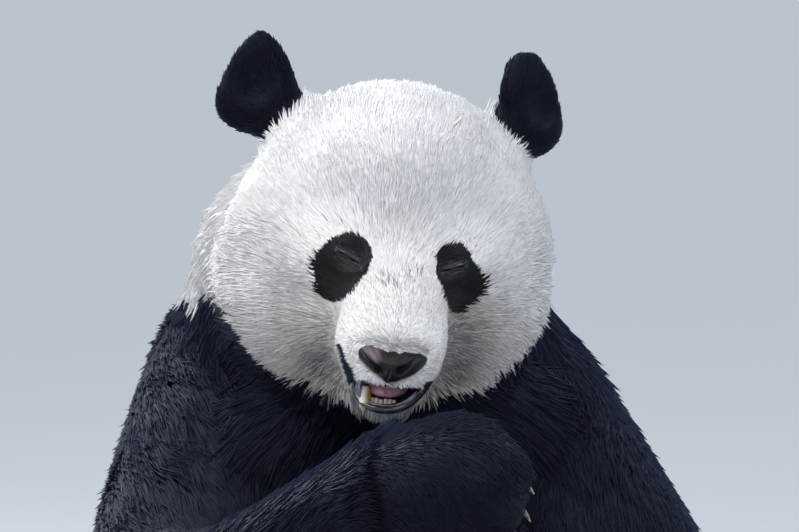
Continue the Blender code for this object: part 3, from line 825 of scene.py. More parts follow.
# %% [markdown]
# ## Unwrap the skin
# The skin needs a flat map of itself: the coat's colours can be stored by it, each lock at
# the place of its root. Smart projection cuts the skin where it turns away and lays the pieces
# out side by side.

# %% Make the skin an object and unwrap it
skin_object = place_object("skin", skin_mesh)
skin_mesh.uv_layers.new(name="OFBake")
bpy.context.view_layer.objects.active = skin_object
skin_object.select_set(True)
bpy.ops.object.mode_set(mode="EDIT")
bpy.ops.mesh.select_all(action="SELECT")
bpy.ops.uv.smart_project(angle_limit=math.radians(66), island_margin=0.002)
bpy.ops.object.mode_set(mode="OBJECT")
skin_mesh.shade_smooth()
print("skin unwrapped,", len(skin_mesh.polygons), "faces")

# %% [markdown]
# The skin's material has to know where it is dark, where dirt and painted shade darken it,
# where it is bare and where it is inside the mouth. Each of these is a value at the points.
# The lids' corners and upper creases are painted paler, as highlights on their folds.

# %% Give the skin its values
lid_gap = to_lids(to_head(points))
# painted highlights: pale spots on the lids' corner folds and beside the creases
lid_painted_highlight = np.zeros(len(points))
for side in SLITS:
    u, v = along_slit(to_head(points), side)
    lid_painted_highlight += ridge(u + SLIT_HALF + 0.0018, 0.0016) * ridge(v - 0.0010, 0.0032)
    lid_painted_highlight += ridge(u - SLIT_HALF + 0.0002, 0.0036) * ridge(v + 0.0026, 0.0018)
    lid_painted_highlight += 0.6 * ridge(u + 0.0080, 0.0030) * ridge(v - 0.0022, 0.0009)
    lid_painted_highlight += 0.6 * ridge(u + 0.0120, 0.0022) * ridge(v + 0.0060, 0.0018)
in_mouth = smooth_step(0.0025, 0.0005, to_mouth(to_head(points))) * share_of("head", "jaw")
give_values(skin_mesh, "dark", dark)
# the cheeks' dirt and painted shade, with the grey hairs of the bridge
give_values(skin_mesh, "dirt_grey_and_shade", np.maximum(cheek_dirt_grey_and_shade, bridge_stain))
give_values(skin_mesh, "bare", smooth_step(1.15, 0.90, lid_gap) * is_lid)
give_values(skin_mesh, "lid_painted_highlight", lid_painted_highlight * is_lid)
give_values(skin_mesh, "mouth", in_mouth)
print("points of bare lid:", int((is_lid & (lid_gap < 1)).sum()))

# %% [markdown]
# ## Pads
# A panda's feet are hairy between the pads. Each toe ends in a bare oval pad, and one wide
# pad runs across the sole under the toes. Their places are found before the hair is sown,
# by looking at the foot from the sole's side, so that no hair grows on them.

# %% Place the pads
SOLE_SIDE = {"hind_left": Vector((0, -1, 0)), "hind_right": Vector((0, -1, 0)),
             "front_left": Vector((0, -0.45, -0.9)), "front_right": Vector((0.25, 0.95, -0.15))}
TOE_PAD = (0.0125, 0.0150, 0.0065)     # half width, half length and half thickness
SOLE_PAD_WIDE, SOLE_PAD_THICK = 0.0215, 0.0070
# the sole's pads: place across the row of claws, and half length
SOLE_PADS = ((-0.30, 0.017), (0.0, 0.019), (0.30, 0.017))
skin_mesh.calc_loop_triangles()
triangles = read(skin_mesh.loop_triangles, "vertices", 3, np.int32)
skin_bvh = BVHTree.FromPolygons(points.tolist(), triangles.tolist())
pads = []                              # (limb, middle, outward, along the foot, half sizes)


def foot_of(limb):
    """The middle of the foot at the end of a limb."""
    end, side = limb.split("_")
    return middle_of(("hind_foot_" if end == "hind" else "forepaw_") + side)


def find_pad(limb, place, up, sizes):
    """Adds a pad where a line from the sole's side meets the skin."""
    side = SOLE_SIDE[limb].normalized()
    hit, normal, _, _ = skin_bvh.ray_cast(place + 0.05 * side, -side, 0.09)
    if hit is not None and normal.dot(side) > 0.2:
        pads.append((limb, hit, normal, up, sizes))


for limb in SOLE_SIDE:
    foot = foot_of(limb)
    claws = [middle_of(f"claw_{limb}_{n}") for n in range(1, 6)]
    reach = 0.034 if limb.startswith("hind") else 0.030
    for claw in claws:
        up = (claw - foot).normalized()
        find_pad(limb, claw - reach * up, up, TOE_PAD)
    row = claws[4] - claws[0]
    up = (claws[2] - foot).normalized()
    if limb != "front_left":
        middle = (claws[0] + claws[4]) / 2 - 0.062 * up
        for share, half in SOLE_PADS:
            find_pad(limb, middle + share * row + up * (0.004 - 0.03 * abs(share)), up,
                     (SOLE_PAD_WIDE, half, SOLE_PAD_THICK))
print("pads:", len(pads))
pad_gap = np.full(len(points), 9.0)
for _, middle, normal, up, (half_width, half_length, _) in pads:
    off = points - np.array(middle)
    lengthwise = np.array((up - up.dot(normal) * normal).normalized())
    crosswise = np.cross(lengthwise, np.array(normal))
    gap = np.sqrt((off @ lengthwise / half_length) ** 2 + (off @ crosswise / half_width) ** 2
                  + (off @ np.array(normal) / 0.012) ** 2)
    pad_gap = np.minimum(pad_gap, gap)

# %% [markdown]
# ## How the coat grows, point by point
# The table and the face's own spread give every point its coat. Then come the exceptions:
# nothing grows on leather, lips and pads, the chin has a short beard, the ears are cropped,
# and the hair thins towards the lids.

# %% The coat at every point of the skin
BEARD_LENGTH, BEARD_DEPTH = 0.0078, 0.0032
EAR_LENGTH, EAR_DEPTH = 0.0125, 0.0060
LID_LOCK_WIDTH = 0.0007
coat_depth = body_value(0, 0.0026, 0.0105, 0.020)
lock_length = body_value(1, 0.0088, 0.030, 0.060)
lock_width = body_value(2, 0.0008, 0.0010, 0.0018)
density = body_value(3, 1100e3, 620e3, 370e3)
density *= 1 - 0.72 * share_of("head") * smooth_step(-0.01, 0.07, to_head(points)[:, 1])
shoulders = share_of("trunk") * smooth_step(0.40, 0.55, points[:, 2])
density *= 1 + 1.6 * shoulders * smooth_step(0.25, 0.0, points[:, 1])
lock_width *= 1 - 0.30 * shoulders
on_head = to_head(points)
nose_gap = np.where(on_head[:, 1] < -0.15, outline_distance(on_head[:, [0, 2]], NOSE_OUTLINE), 1.0)
mouth_gap = to_mouth(on_head)
lip_bare = 0.0030 + 0.0022 * smooth_step(-0.108, -0.114, on_head[:, 2])
bare = (~is_lid & (lid_gap < 1.0)) | (nose_gap < -0.0010) | (mouth_gap < lip_bare) | (pad_gap < 1.02)
density[bare] = 0
chin = share_of("head", "jaw") * smooth_step(0.015, 0.009, mouth_gap)
chin *= smooth_step(-0.104, -0.112, on_head[:, 2])
density *= 1 + 1.6 * chin
lock_length += chin * (BEARD_LENGTH - lock_length)
coat_depth += chin * (BEARD_DEPTH - coat_depth)
by_ear = smooth_step(0.02, 0.20, share_of("ear"))
lock_length += by_ear * (EAR_LENGTH - lock_length)
coat_depth += by_ear * (EAR_DEPTH - coat_depth)
collar = share_of("neck") * smooth_step(0.70, 0.78, points[:, 2])
density *= 1 + 0.9 * collar
lock_width *= 1 - 0.42 * collar
lock_length *= 1 - 0.25 * collar
near_eye = smooth_step(2.4, 1.0, lid_gap)
coat_depth *= 1 - 0.75 * near_eye
lock_length *= 1 - 0.62 * near_eye
lock_width[is_lid] = LID_LOCK_WIDTH
density[is_lid] = np.where((lid_gap[is_lid] > 0.66) & (lid_gap[is_lid] < 1.25), 1000e3, 0)
print("points where no hair grows:", int((density == 0).sum()))

# %% [markdown]
# ## Sow the roots
# Blender could grow hair curves here, but the exported model keeps only mesh, so every lock
# is a small closed mesh of its own. First the roots: faces of the skin are drawn by their
# area times how dense the coat is there, and each root falls at a random place in its face
# and takes all its values from the face's three corners.

# %% Draw the roots
rng = np.random.default_rng(7)
triangle_loops = read(skin_mesh.loop_triangles, "loops", 3, np.int32)
corners = points[triangles]
areas = np.linalg.norm(np.cross(corners[:, 1] - corners[:, 0], corners[:, 2] - corners[:, 0]),
                       axis=1) / 2
expected = areas * density[triangles].mean(1)
root_count = int(expected.sum())
chosen = np.searchsorted(np.cumsum(expected), rng.uniform(0, expected.sum(), root_count))
chosen = np.minimum(chosen, len(triangles) - 1)
weights = rng.dirichlet((1, 1, 1), root_count)


def at_roots(values):
    """Values of the skin's points, read at the roots."""
    picked = values[triangles[chosen]]
    return (picked * (weights if values.ndim == 1 else weights[:, :, None])).sum(1)


uv_data = read(skin_mesh.uv_layers["OFBake"].data, "uv", 2).astype(float)
root_uv = (uv_data[triangle_loops[chosen]] * weights[:, :, None]).sum(1)
root = at_roots(points)
root_normal = unit(at_roots(skin_normals))
root_lie = unit(at_roots(lie))
# over the nose, and on the chin, the hair hangs forward instead
fringe = smooth_step(0.0065, 0.0015, at_roots(nose_gap)) * smooth_step(-0.068, -0.062, to_head(root)[:, 2])
for share, hangs in ((fringe, (0.0, -0.5, -1.0)), (at_roots(chin), (0.0, -0.25, -1.0))):
    root_lie = unit(root_lie * (1 - share[:, None]) + share[:, None] * (TURN @ np.array(hangs)))
root_shares = at_roots(shares)
root_part = root_shares.argmax(1)
print("roots:", root_count, "skin: %.2f m2" % areas.sum())
for number, name in enumerate(FLESH):
    print("   %s %d" % (name, (root_part == number).sum()))

# %% [markdown]
# ## Shape the locks
# A lock leaves the skin at a slant, bends over, and lies along the body with its tip at the
# coat's surface. A few stray locks stand out further. Where the skin bends, the tip is
# brought back to its own height over the nearest skin.

# %% Lay every lock
STRAY_SHARE = 0.06
side_way = unit(np.cross(root_lie, root_normal))
swing = (0.22 * wave(root, 0.060, 21) + 0.16 * wave(root, 0.018, 22)
         + rng.normal(0, 0.16, root_count))[:, None]
lock_lie = unit(root_lie * np.cos(swing) + side_way * np.sin(swing))
height = at_roots(coat_depth) * rng.uniform(0.60, 1.00, root_count)
length = at_roots(lock_length) * rng.uniform(0.75, 1.2, root_count)
stray = rng.uniform(0, 1, root_count) < STRAY_SHARE
height *= np.where(stray, 1.25, 1.0)
length *= np.where(stray, 1.15, 1.0)
reach = np.sqrt(np.maximum(length ** 2 - height ** 2, (0.3 * length) ** 2))
tip = root + lock_lie * reach[:, None] + root_normal * height[:, None]
for i in range(root_count):
    place, normal, _, gap = skin_bvh.find_nearest(tip[i])
    if gap < 2.5 * height[i] + 0.004:
        tip[i] = 0.25 * tip[i] + 0.75 * (np.array(place) + height[i] * np.array(normal))
print("locks laid, mm long on average: %.1f" % (1000 * length.mean()))

# %% [markdown]
# Neighbours lean together into clumps, which is what makes fur look soft and not like
# bristles: every lock is drawn part of the way to the tip of the nearest of a few leading
# locks.

# %% Lean the locks together
CLUMP_EVERY = 16
BEND_AT = 0.42                        # the share of its length at which a lock bends
leaders = np.arange(0, root_count, CLUMP_EVERY)
leader_tree = KDTree(len(leaders))
for order, leader in enumerate(leaders):
    leader_tree.insert(root[leader], order)
leader_tree.balance()
nearest = np.array([leader_tree.find(p)[1] for p in root])
pull = np.clip(at_roots(lock_length) / 0.05, 0.2, 1.0)[:, None]
pull = pull * rng.uniform(0.10, 0.60, (root_count, 1))
tip += pull * (tip[leaders[nearest]] - tip)
bent_at = root + BEND_AT * (tip - root)
bend = bent_at + root_normal * (0.30 * height + 0.02 * length)[:, None]
print("leading locks:", len(leaders))

# %% [markdown]
# A lock is black or white as a whole. On the body the place of its bend decides, and on the
# face a place nearer to its tip, because that is the part that is seen. On the muzzle one
# lock in four is a little greyer, which gives its short hair a fine speckle.

# %% Colour every lock
SEEN_AT = 0.72
GREY_HAIR = 0.72
SPECKLE_SHARE, SPECKLE_GREY = 0.26, 0.36
seen = root + SEEN_AT * (tip - root)
root_dark = (darkness(seen, root_shares)[1] > 0.5) | (darkness(bent_at, root_shares)[0] > 0.5)
# the cheeks' dirt and painted shade, and the grey hairs of the bridge, for each lock
lock_dirt_grey_and_shade, grey = dirt_grey_and_shade(seen, root_shares)
lock_dirt_grey_and_shade = np.clip(lock_dirt_grey_and_shade * rng.uniform(0.6, 1.4, root_count), 0, 0.9)
lock_dirt_grey_and_shade[rng.uniform(0, 1, root_count) < grey] = GREY_HAIR
on_muzzle = smooth_step(0.100, 0.060, np.linalg.norm(to_head(root) - NOSE_MIDDLE, axis=1))
speckled = rng.uniform(0, 1, root_count) < SPECKLE_SHARE * on_muzzle
lock_dirt_grey_and_shade[speckled] = np.maximum(lock_dirt_grey_and_shade[speckled], SPECKLE_GREY)
print("dark locks: %.2f" % root_dark.mean())

# %% [markdown]
# A lock has four points: the root, two where it is widest and bends, and the tip. Four
# triangles close it, so it is a solid however small, and over a third of a million of them
# still fit. Each lock's patch of the flat map is three thousandths wide, at its root.

# %% Give every lock its points
FLOOR_GAP = 0.0012
LOCK_FACES = np.array(((0, 1, 2), (3, 2, 1), (0, 3, 1), (0, 2, 3)))
PATCH = 0.0015                    # half the patch that a lock takes on the flat map
LOCK_PATCH = PATCH * np.array(((-1, 0), (0, 1), (0, -1), (1, 0)))
along_axis = unit(tip - root)
across_axis = unit(np.cross(along_axis, root_normal))
up_axis = np.cross(across_axis, along_axis)
width = at_roots(lock_width) * rng.uniform(0.7, 1.3, root_count) * np.where(stray, 0.7, 1.0)
half = (width / 2)[:, None]
sunk = root - root_normal * 0.0006
lock_points = np.stack((sunk, bend + across_axis * half, bend - across_axis * half, tip), axis=1)
lock_points[:, :, 2] = np.maximum(lock_points[:, :, 2], FLOOR_GAP)
lock_tone = rng.normal(0, 1, root_count)
volume = sum(np.einsum("ij,ij->i", np.cross(lock_points[:, a], lock_points[:, b]), lock_points[:, c])
             for a, b, c in LOCK_FACES).sum() / 6
print("all locks together: %.2f litres, more than 0 as their faces look outward" % (1000 * volume))

# %% [markdown]
# ## Pieces of the coat
# A lock's normals are mostly the skin's, so the light rolls over the body as over one soft
# surface. Each piece stores how far along the lock a point is, and a tone and a value of dirt,
# grey hair and painted shade for each lock.

# %% One function for a piece of the coat
SOFTNESS_ON_FACE, SOFTNESS = 0.62, 0.84     # the skin's share in a lock's normals
on_face = np.isin(root_part, [FLESH.index("head"), FLESH.index("jaw")])
softness = np.where(on_face, SOFTNESS_ON_FACE, SOFTNESS)[:, None, None]
own = np.stack((up_axis, unit(across_axis + up_axis), unit(up_axis - across_axis), up_axis), axis=1)
lock_normals = unit(softness * root_normal[:, None] + (1 - softness) * own)


def build_coat(name, chosen_locks, material):
    """One mesh of many locks, with its flat map and its values."""
    mesh = bpy.data.meshes.new(name)
    count = len(chosen_locks)
    faces = (LOCK_FACES[None] + 4 * np.arange(count)[:, None, None]).reshape(-1, 3)
    mesh.vertices.add(4 * count)
    mesh.vertices.foreach_set("co", lock_points[chosen_locks].astype(np.float32).ravel())
    mesh.loops.add(faces.size)
    mesh.loops.foreach_set("vertex_index", faces.astype(np.int32).ravel())
    mesh.polygons.add(len(faces))
    mesh.polygons.foreach_set("loop_start", np.arange(0, faces.size, 3, dtype=np.int32))
    mesh.update(calc_edges=True)
    uv = (root_uv[chosen_locks][:, None, None] + LOCK_PATCH[LOCK_FACES][None]).astype(np.float32)
    mesh.uv_layers.new(name="OFBake").data.foreach_set("uv", uv.ravel())
    give_values(mesh, "along", np.tile((0.0, 0.45, 0.45, 1.0), count))
    give_values(mesh, "tone", np.repeat(lock_tone[chosen_locks], 4))
    give_values(mesh, "dirt_grey_and_shade", np.repeat(lock_dirt_grey_and_shade[chosen_locks], 4))
    mesh.shade_smooth()
    mesh.normals_split_custom_set_from_vertices(lock_normals[chosen_locks].reshape(-1, 3))
    return add_object(name, mesh, material)


print("locks of the face: %.2f of all" % on_face.mean())

# %% [markdown]
# ## White and black guard hair
# A panda's hair is dry and a little oily at once: rough, with a soft sheen where it turns
# from the light. White hair is creamy at its root and nearly clear at its tip, takes up some
# dirt, and is painted darker with shade on the cheeks. Black hair is not black but a very dark
# brown; on the body its tips, sheen and gloss are tinted blue as a painted reflection of the
# sky, while the black hair of the face keeps near-neutral tints.

# %% Hair materials


def hair_material(name, root_colour, tip_colour, dirt_grey_and_shaded_colours, sheen, shine, roughness, tone_size):
    """Dry hair: a ramp from root to tip, a second ramp that darkens the lock for dirt, grey hair
    and painted shade, a tone of its own for each lock, and a fine bump from the scales of the hair."""
    material, add = start_material(name)
    along = add("Attribute", attribute_name="along").outputs["Fac"]
    tone = add("Attribute", attribute_name="tone").outputs["Fac"]
    dingy_and_shaded = add("Attribute", attribute_name="dirt_grey_and_shade").outputs["Fac"]
    place = add("TexCoord").outputs["Object"]
    ramp = add("ValToRGB", {"Fac": along}, stops=((0.0, root_colour), (0.75, tip_colour)))
    slow = add("TexNoise", {"Vector": place, "Scale": 9.0, "Detail": 3.0})
    slow_share = add("MapRange", {
        "Value": slow, "From Min": 0.45, "From Max": 0.80, "To Min": 0.0, "To Max": 0.25})
    # dirt, grey hair and the cheeks' painted shade darken the lock through the second ramp
    dingy_and_shaded_share = add("Math", {0: dingy_and_shaded, 1: slow_share}, operation="ADD")
    tint = add("ValToRGB", {"Fac": dingy_and_shaded_share}, stops=tuple(zip((0.0, 0.6, 1.0), dirt_grey_and_shaded_colours)))
    dirt_grey_and_shaded = add("MixRGB", {"Fac": 1.0, "Color1": ramp, "Color2": tint}, blend_type="MULTIPLY")
    brightness = add("Math", {0: tone, 1: tone_size, 2: 1.0}, operation="MULTIPLY_ADD")
    toned = add("HueSaturation", {"Value": brightness, "Color": dirt_grey_and_shaded})
    scales = add("TexNoise", {"Vector": place, "Scale": 700.0, "Detail": 2.0})
    bump = add("Bump", {"Height": scales, "Strength": 0.25, "Distance": 0.0004})
    shader = add("BsdfPrincipled", {
        "Base Color": toned, "Roughness": roughness, "Specular IOR Level": shine[0],
        "Specular Tint": linear(shine[1]), "Sheen Weight": sheen[0], "Sheen Roughness": 0.5,
        "Sheen Tint": linear(sheen[1]), "Normal": bump})
    return end_material(material, shader)


CLEAN = ("#ffffff", "#ffffff", "#ffffff")
white_hair = hair_material("white_guard_hair_dry", "#d8d3cc", "#efeff0", ("#ffffff", "#c2bdb2", "#7d7a84"),
                           (0.25, "#ffffff"), (0.35, "#ffffff"), 0.60, 0.045)
# painted reflection: the body's black hair has a blue tip colour and blue sheen and gloss tints that stand
# in for the sky
black_hair = hair_material("black_guard_hair_painted_sky_tint", "#030304", "#0b0c13", CLEAN,
                           (0.11, "#6c80c4"), (0.30, "#b4c2ee"), 0.50, 0.12)
# the same black hair for the face, without the painted blue of the sky
black_face_hair = hair_material("black_facial_hair_untinted", "#050505", "#111114", CLEAN,
                                (0.12, "#9a9ca6"), (0.32, "#e4e6f0"), 0.55, 0.12)
print("hair materials:", white_hair.name, black_hair.name, black_face_hair.name)

# %% [markdown]
# The coat is built region by region and shade by shade, in pieces that are not too large.
# The locks of a region are sorted by the way they face, so that a piece is one sector.

# %% Build the coat
LOCKS_IN_PIECE = 49000
HEAD_PARTS = [FLESH.index(n) for n in ("head", "jaw", "ear_left", "ear_right")]
root_on_head = to_head(root)
in_patch = root_dark & np.isin(root_part, HEAD_PARTS[:2]) & (root_on_head[:, 1] < -0.05)
in_patch &= (root_on_head[:, 2] > -0.05)
LIMB_PARTS = [i for i, n in enumerate(FLESH) if n.startswith(("upper", "fore", "thigh", "shank", "hind"))]
BODY_PARTS = [i for i in range(len(FLESH)) if i not in HEAD_PARTS + LIMB_PARTS]
coat_triangles = 0
for region, parts in (("head", HEAD_PARTS), ("limbs", LIMB_PARTS), ("body", BODY_PARTS)):
    for shade, mask, material in (("white", ~root_dark, white_hair), ("patch", in_patch, black_face_hair),
                                  ("black", root_dark & ~in_patch, black_hair)):
        locks = np.flatnonzero(mask & np.isin(root_part, parts))
        if len(locks) == 0:
            continue
        locks = locks[np.argsort(np.arctan2(root[locks, 0], -root[locks, 1]))]
        pieces = np.array_split(locks, math.ceil(len(locks) / LOCKS_IN_PIECE))
        for number, chunk in enumerate(pieces):
            piece = build_coat(f"coat_{region}_{shade}_{number + 1}", chunk, material)
            coat_triangles += len(piece.data.polygons)
            print(piece.name, len(piece.data.polygons), "triangles")
print("coat:", coat_triangles, "triangles")

# %% [markdown]
# ## Skin
# Under the hair the skin is pale where the coat is white and slate where it is black.
# What shows of it, between the locks, reads as the fine under-wool, so it carries a close
# bump of short fibres.

# %% Skin material
skin_material, add = start_material("skin_with_under_wool")
where = add("TexCoord").outputs["Object"]
dark_here = add("Attribute", attribute_name="dark").outputs["Fac"]
mouth_here = add("Attribute", attribute_name="mouth").outputs["Fac"]
wool = add("TexNoise", {"Vector": where, "Scale": 420.0, "Detail": 4.0, "Roughness": 0.7})
pale = add("ValToRGB", {"Fac": wool}, stops=((0.3, "#c9c2ba"), (0.7, "#efebe6")))
slate = add("ValToRGB", {"Fac": wool}, stops=((0.3, "#050506"), (0.7, "#0e0e11")))
# dirt, grey hairs and painted shade of the cheeks darken the pale under-wool
dirt_grey_and_shade_here = add("Attribute", attribute_name="dirt_grey_and_shade").outputs["Fac"]
dingy_and_shaded_wool = add("MixRGB", {"Fac": dirt_grey_and_shade_here, "Color1": pale, "Color2": linear("#5d584e")})
marked = add("MixRGB", {"Fac": dark_here, "Color1": dingy_and_shaded_wool, "Color2": slate})
bare_here = add("Attribute", attribute_name="bare").outputs["Fac"]
# painted highlights on the lids' folds, from grey-black bare skin to pale grey
lid_highlight_here = add("Attribute", attribute_name="lid_painted_highlight").outputs["Fac"]
lid_colour = add("ValToRGB", {"Fac": lid_highlight_here}, stops=((0.0, "#161518"), (1.0, "#6f6d72")))
with_lids = add("MixRGB", {"Fac": bare_here, "Color1": marked, "Color2": lid_colour})
with_mouth = add("MixRGB", {"Fac": mouth_here, "Color1": with_lids, "Color2": linear("#1a1014")})
wool_bump = add("Bump", {"Height": wool, "Strength": 0.6, "Distance": 0.0015})
skin_shader = add("BsdfPrincipled", {"Base Color": with_mouth, "Roughness": 0.55, "Normal": wool_bump})
end_material(skin_material, skin_shader)
skin_mesh.materials.append(skin_material)
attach(skin_object, "root")
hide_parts(*FLESH)
print("the skin stands for", len(FLESH), "nodes")

# %% [markdown]
# ## Eyes
# The ball under the lids is dark brown and wet. Only a line of it shows, so one smooth ball
# with a clear, glossy coat over a nearly black iris is enough.

# %% Eyeballs


def add_head_piece(name, form, material, replaces=()):
    """A bmesh in the head's frame becomes a finished piece."""
    bmesh.ops.transform(form, matrix=head_pose, verts=form.verts)
    piece = add_object(name, mesh_from(name, form, smooth=True), material, replaces)
    print(name, len(piece.data.polygons), "faces")
    return piece


wet_eye, add = start_material("wet_eye")
eye_place = add("TexCoord").outputs["Object"]
fibres = add("TexNoise", {"Vector": eye_place, "Scale": 900.0, "Detail": 3.0})
iris = add("ValToRGB", {"Fac": fibres}, stops=((0.3, "#070505"), (0.8, "#24140c")))
end_material(wet_eye, add("BsdfPrincipled", {
    "Base Color": iris, "Roughness": 0.08, "IOR": 1.376, "Coat Weight": 0.6, "Coat Roughness": 0.03}))
for side, eye in EYES.items():
    side_name = "left" if side > 0 else "right"
    ball = bmesh.new()
    bmesh.ops.create_uvsphere(ball, u_segments=48, v_segments=32, radius=EYE_RADIUS,
                              matrix=Matrix.Translation(eye))
    add_head_piece("eyeball_" + side_name, ball, wet_eye, ["eye_" + side_name])

# %% [markdown]
# ## Nose
# The pad is bare, dark and wet leather, broad above and pointed below. It is sculpted from
# a ball: an outline gives its edge, its front is bowed and leans back at the top, and the
# nostrils are two commas that end beside the middle seam. Each is cut by a row of soft
# pits, as a thumb would press them.

# %% Sculpt the nose
NOSE_BOW = 0.0165                 # how far the middle stands in front of the edge
# pits: x, z, depth and radius in millimetres, from the outer end of a nostril inwards
NOSTRIL = ((-31.5, -58.5, 0.8, 1.2), (-28.5, -61.5, 1.6, 1.4), (-25, -64.5, 3.0, 1.6),
           (-21.5, -67.5, 4.5, 1.9), (-18, -70.5, 5.5, 2.4), (-14.5, -73, 7.5, 3.0),
           (-11.5, -75.5, 8.0, 3.1))
NOSE_SEAM = ((-3.5, -72, 0.8, 1.0), (-4.2, -76, 1.3, 1.1), (-4.8, -80, 1.7, 1.2), (-5.4, -84, 2.0, 1.3))
MIRROR_AT = -3.2                  # the seam's x, about which the far nostril is turned over
FAR_NOSTRIL = tuple((2 * MIRROR_AT - x, z + 1.5, deep, wide) for x, z, deep, wide in NOSTRIL)
pits = np.array([(np.array(one) + (np.array(other) - one) * share) / 1000
                 for row in (NOSTRIL, FAR_NOSTRIL, NOSE_SEAM) for one, other in zip(row, row[1:])
                 for share in (0.0, 0.25, 0.5, 0.75)])
edge_x, edge_z = (NOSE_OUTLINE - NOSE_CENTRE[[0, 2]]).T
edge_turn, edge_reach = np.arctan2(edge_z, edge_x), np.hypot(edge_x, edge_z)
nose = bmesh.new()
bmesh.ops.create_uvsphere(nose, u_segments=144, v_segments=112, radius=1.0,
                          matrix=Matrix.Rotation(math.radians(90), 4, "X"))
for vertex in nose.verts:
    turn = math.atan2(vertex.co.z, vertex.co.x)
    reach = np.mean([np.interp(turn + d, edge_turn, edge_reach, period=2 * math.pi)
                     for d in (-0.06, -0.03, 0, 0.03, 0.06)])
    share = min(1.0, math.hypot(vertex.co.x, vertex.co.z))
    x = NOSE_CENTRE[0] + share * reach * math.cos(turn)
    z = NOSE_CENTRE[2] + share * reach * math.sin(turn)
    y = NOSE_CENTRE[1] + NOSE_SIDES * (x - NOSE_CENTRE[0]) ** 2
    if vertex.co.y < 0:
        y -= NOSE_BOW * math.sqrt(1 - share ** 2) ** 0.6
        y += 0.0035 * smooth_step(-0.0670, -0.0560, z)
        y += np.max(pits[:, 2] * ridge(np.hypot(x - pits[:, 0], z - pits[:, 1]), pits[:, 3]))
    else:
        y += 0.012 * math.sqrt(1 - share ** 2)
    vertex.co = Vector((x, y, z))
bmesh.ops.recalc_face_normals(nose, faces=nose.faces)
print("nose:", len(nose.verts), "points, pits:", len(pits))

# %% [markdown]
# The leather is cobbled like a fine cracked glaze, and wet in blotches. Over the slit of
# the right nostril it is worn and paler.

# %% Cover the nose with leather
nose_leather, add = start_material("wet_nose_leather")
leather_place = add("TexCoord").outputs["Object"]
cobbles = add("TexVoronoi", {"Vector": leather_place, "Scale": 850.0}, feature="DISTANCE_TO_EDGE")
blotches = add("TexNoise", {"Vector": leather_place, "Scale": 90.0, "Detail": 4.0})
leather_colour = add("ValToRGB", {"Fac": blotches}, stops=((0.3, "#0c090b"), (0.75, "#231c21")))
leather_gloss = add("MapRange", {"Value": blotches, "To Min": 0.34, "To Max": 0.50})
cobble_bump = add("Bump", {"Height": cobbles, "Strength": 0.35, "Distance": 0.0005})
worn_here = add("Attribute", attribute_name="worn").outputs["Fac"]
worn_colour = add("MixRGB", {"Fac": worn_here, "Color1": leather_colour, "Color2": linear("#665862")})
end_material(nose_leather, add("BsdfPrincipled", {
    "Base Color": worn_colour, "Specular IOR Level": 0.2, "Roughness": leather_gloss,
    "Coat Weight": 0.05, "Coat Roughness": 0.2, "Normal": cobble_bump}))
over_slit = [v.co.z + 0.0585 + 0.85 * (v.co.x + 0.0315) for v in nose.verts]
worn = [smooth_step(0.0004, 0.0028, above) * smooth_step(-0.0105, -0.0185, v.co.x)
        * smooth_step(-0.0700, -0.0630, v.co.z) * (0.78 + 0.22 * math.sin(900 * v.co.x + 700 * v.co.z))
        for v, above in zip(nose.verts, over_slit)]
nose_piece = add_head_piece("nose_pad", nose, nose_leather, ["nose"])
give_values(nose_piece.data, "worn", worn)

# %% [markdown]
# ## Lips, gum and tongue
# The mouth is parted on a bite of food. The lips are slate, thin and wet. Inside them runs
# the lilac lining of the cheek and gum, and the tongue lies behind the teeth. Each rim is
# a tube along a smooth path, thicker in the middle of the lower lip.

# %% One function for a rim


def tube(path, radii, sides=12):
    """A round tube along a smooth path in the head's frame, closed at its ends."""
    line = bpy.data.curves.new("line", "CURVE")
    line.dimensions = "3D"
    spline = line.splines.new("NURBS")
    spline.points.add(len(path) - 1)
    for point, place, radius in zip(spline.points, path, radii):
        point.co = (*place, 1)
        point.radius = radius
    spline.order_u = 4
    spline.use_endpoint_u = True
    line.resolution_u = 8
    line.bevel_depth = 1.0
    line.bevel_resolution = (sides - 4) // 2
    line.use_fill_caps = True
    carrier = bpy.data.objects.new("line", line)
    mesh = bpy.data.meshes.new_from_object(carrier)
    bpy.data.objects.remove(carrier)
    form = bmesh.new()
    form.from_mesh(mesh)
    bpy.data.meshes.remove(mesh)
    bmesh.ops.remove_doubles(form, verts=form.verts, dist=1e-6)
    bmesh.ops.recalc_face_normals(form, faces=form.faces)
    return form


# %% Wet flesh for the lips, gum and tongue


def wet_flesh(name, deep, pale, roughness, grain):
    """Moist lining of the mouth: two tones in slow blotches, small bumps, a wet coat."""
    material, add = start_material(name)
    place = add("TexCoord").outputs["Object"]
    blotch = add("TexNoise", {"Vector": place, "Scale": 160.0, "Detail": 3.0})
    colour = add("ValToRGB", {"Fac": blotch}, stops=((0.3, deep), (0.7, pale)))
    bumps = add("TexVoronoi", {"Vector": place, "Scale": grain})
    bump = add("Bump", {"Height": bumps, "Strength": 0.3, "Distance": 0.0004})
    shader = add("BsdfPrincipled", {
        "Base Color": colour, "Roughness": roughness, "Subsurface Weight": 0.1,
        "Subsurface Radius": (0.003, 0.0015, 0.0012), "Coat Weight": 0.3, "Coat Roughness": 0.15,
        "Normal": bump})
    return end_material(material, shader)


slate_lip = wet_flesh("slate_lip_wet", "#17171d", "#34343f", 0.35, 700.0)
lilac_gum = wet_flesh("lilac_gum_wet", "#766f96", "#bab4d0", 0.28, 500.0)
pink_tongue = wet_flesh("pink_tongue_wet", "#d99ab0", "#f3cfdb", 0.32, 1100.0)
print("wet flesh:", slate_lip.name, lilac_gum.name, pink_tongue.name)

# %% [markdown]
# Each rim follows its own middle line in the plane of the face. How far forward it lies is
# read from the skin, on the line itself or a little outside the mouth, and evened out.

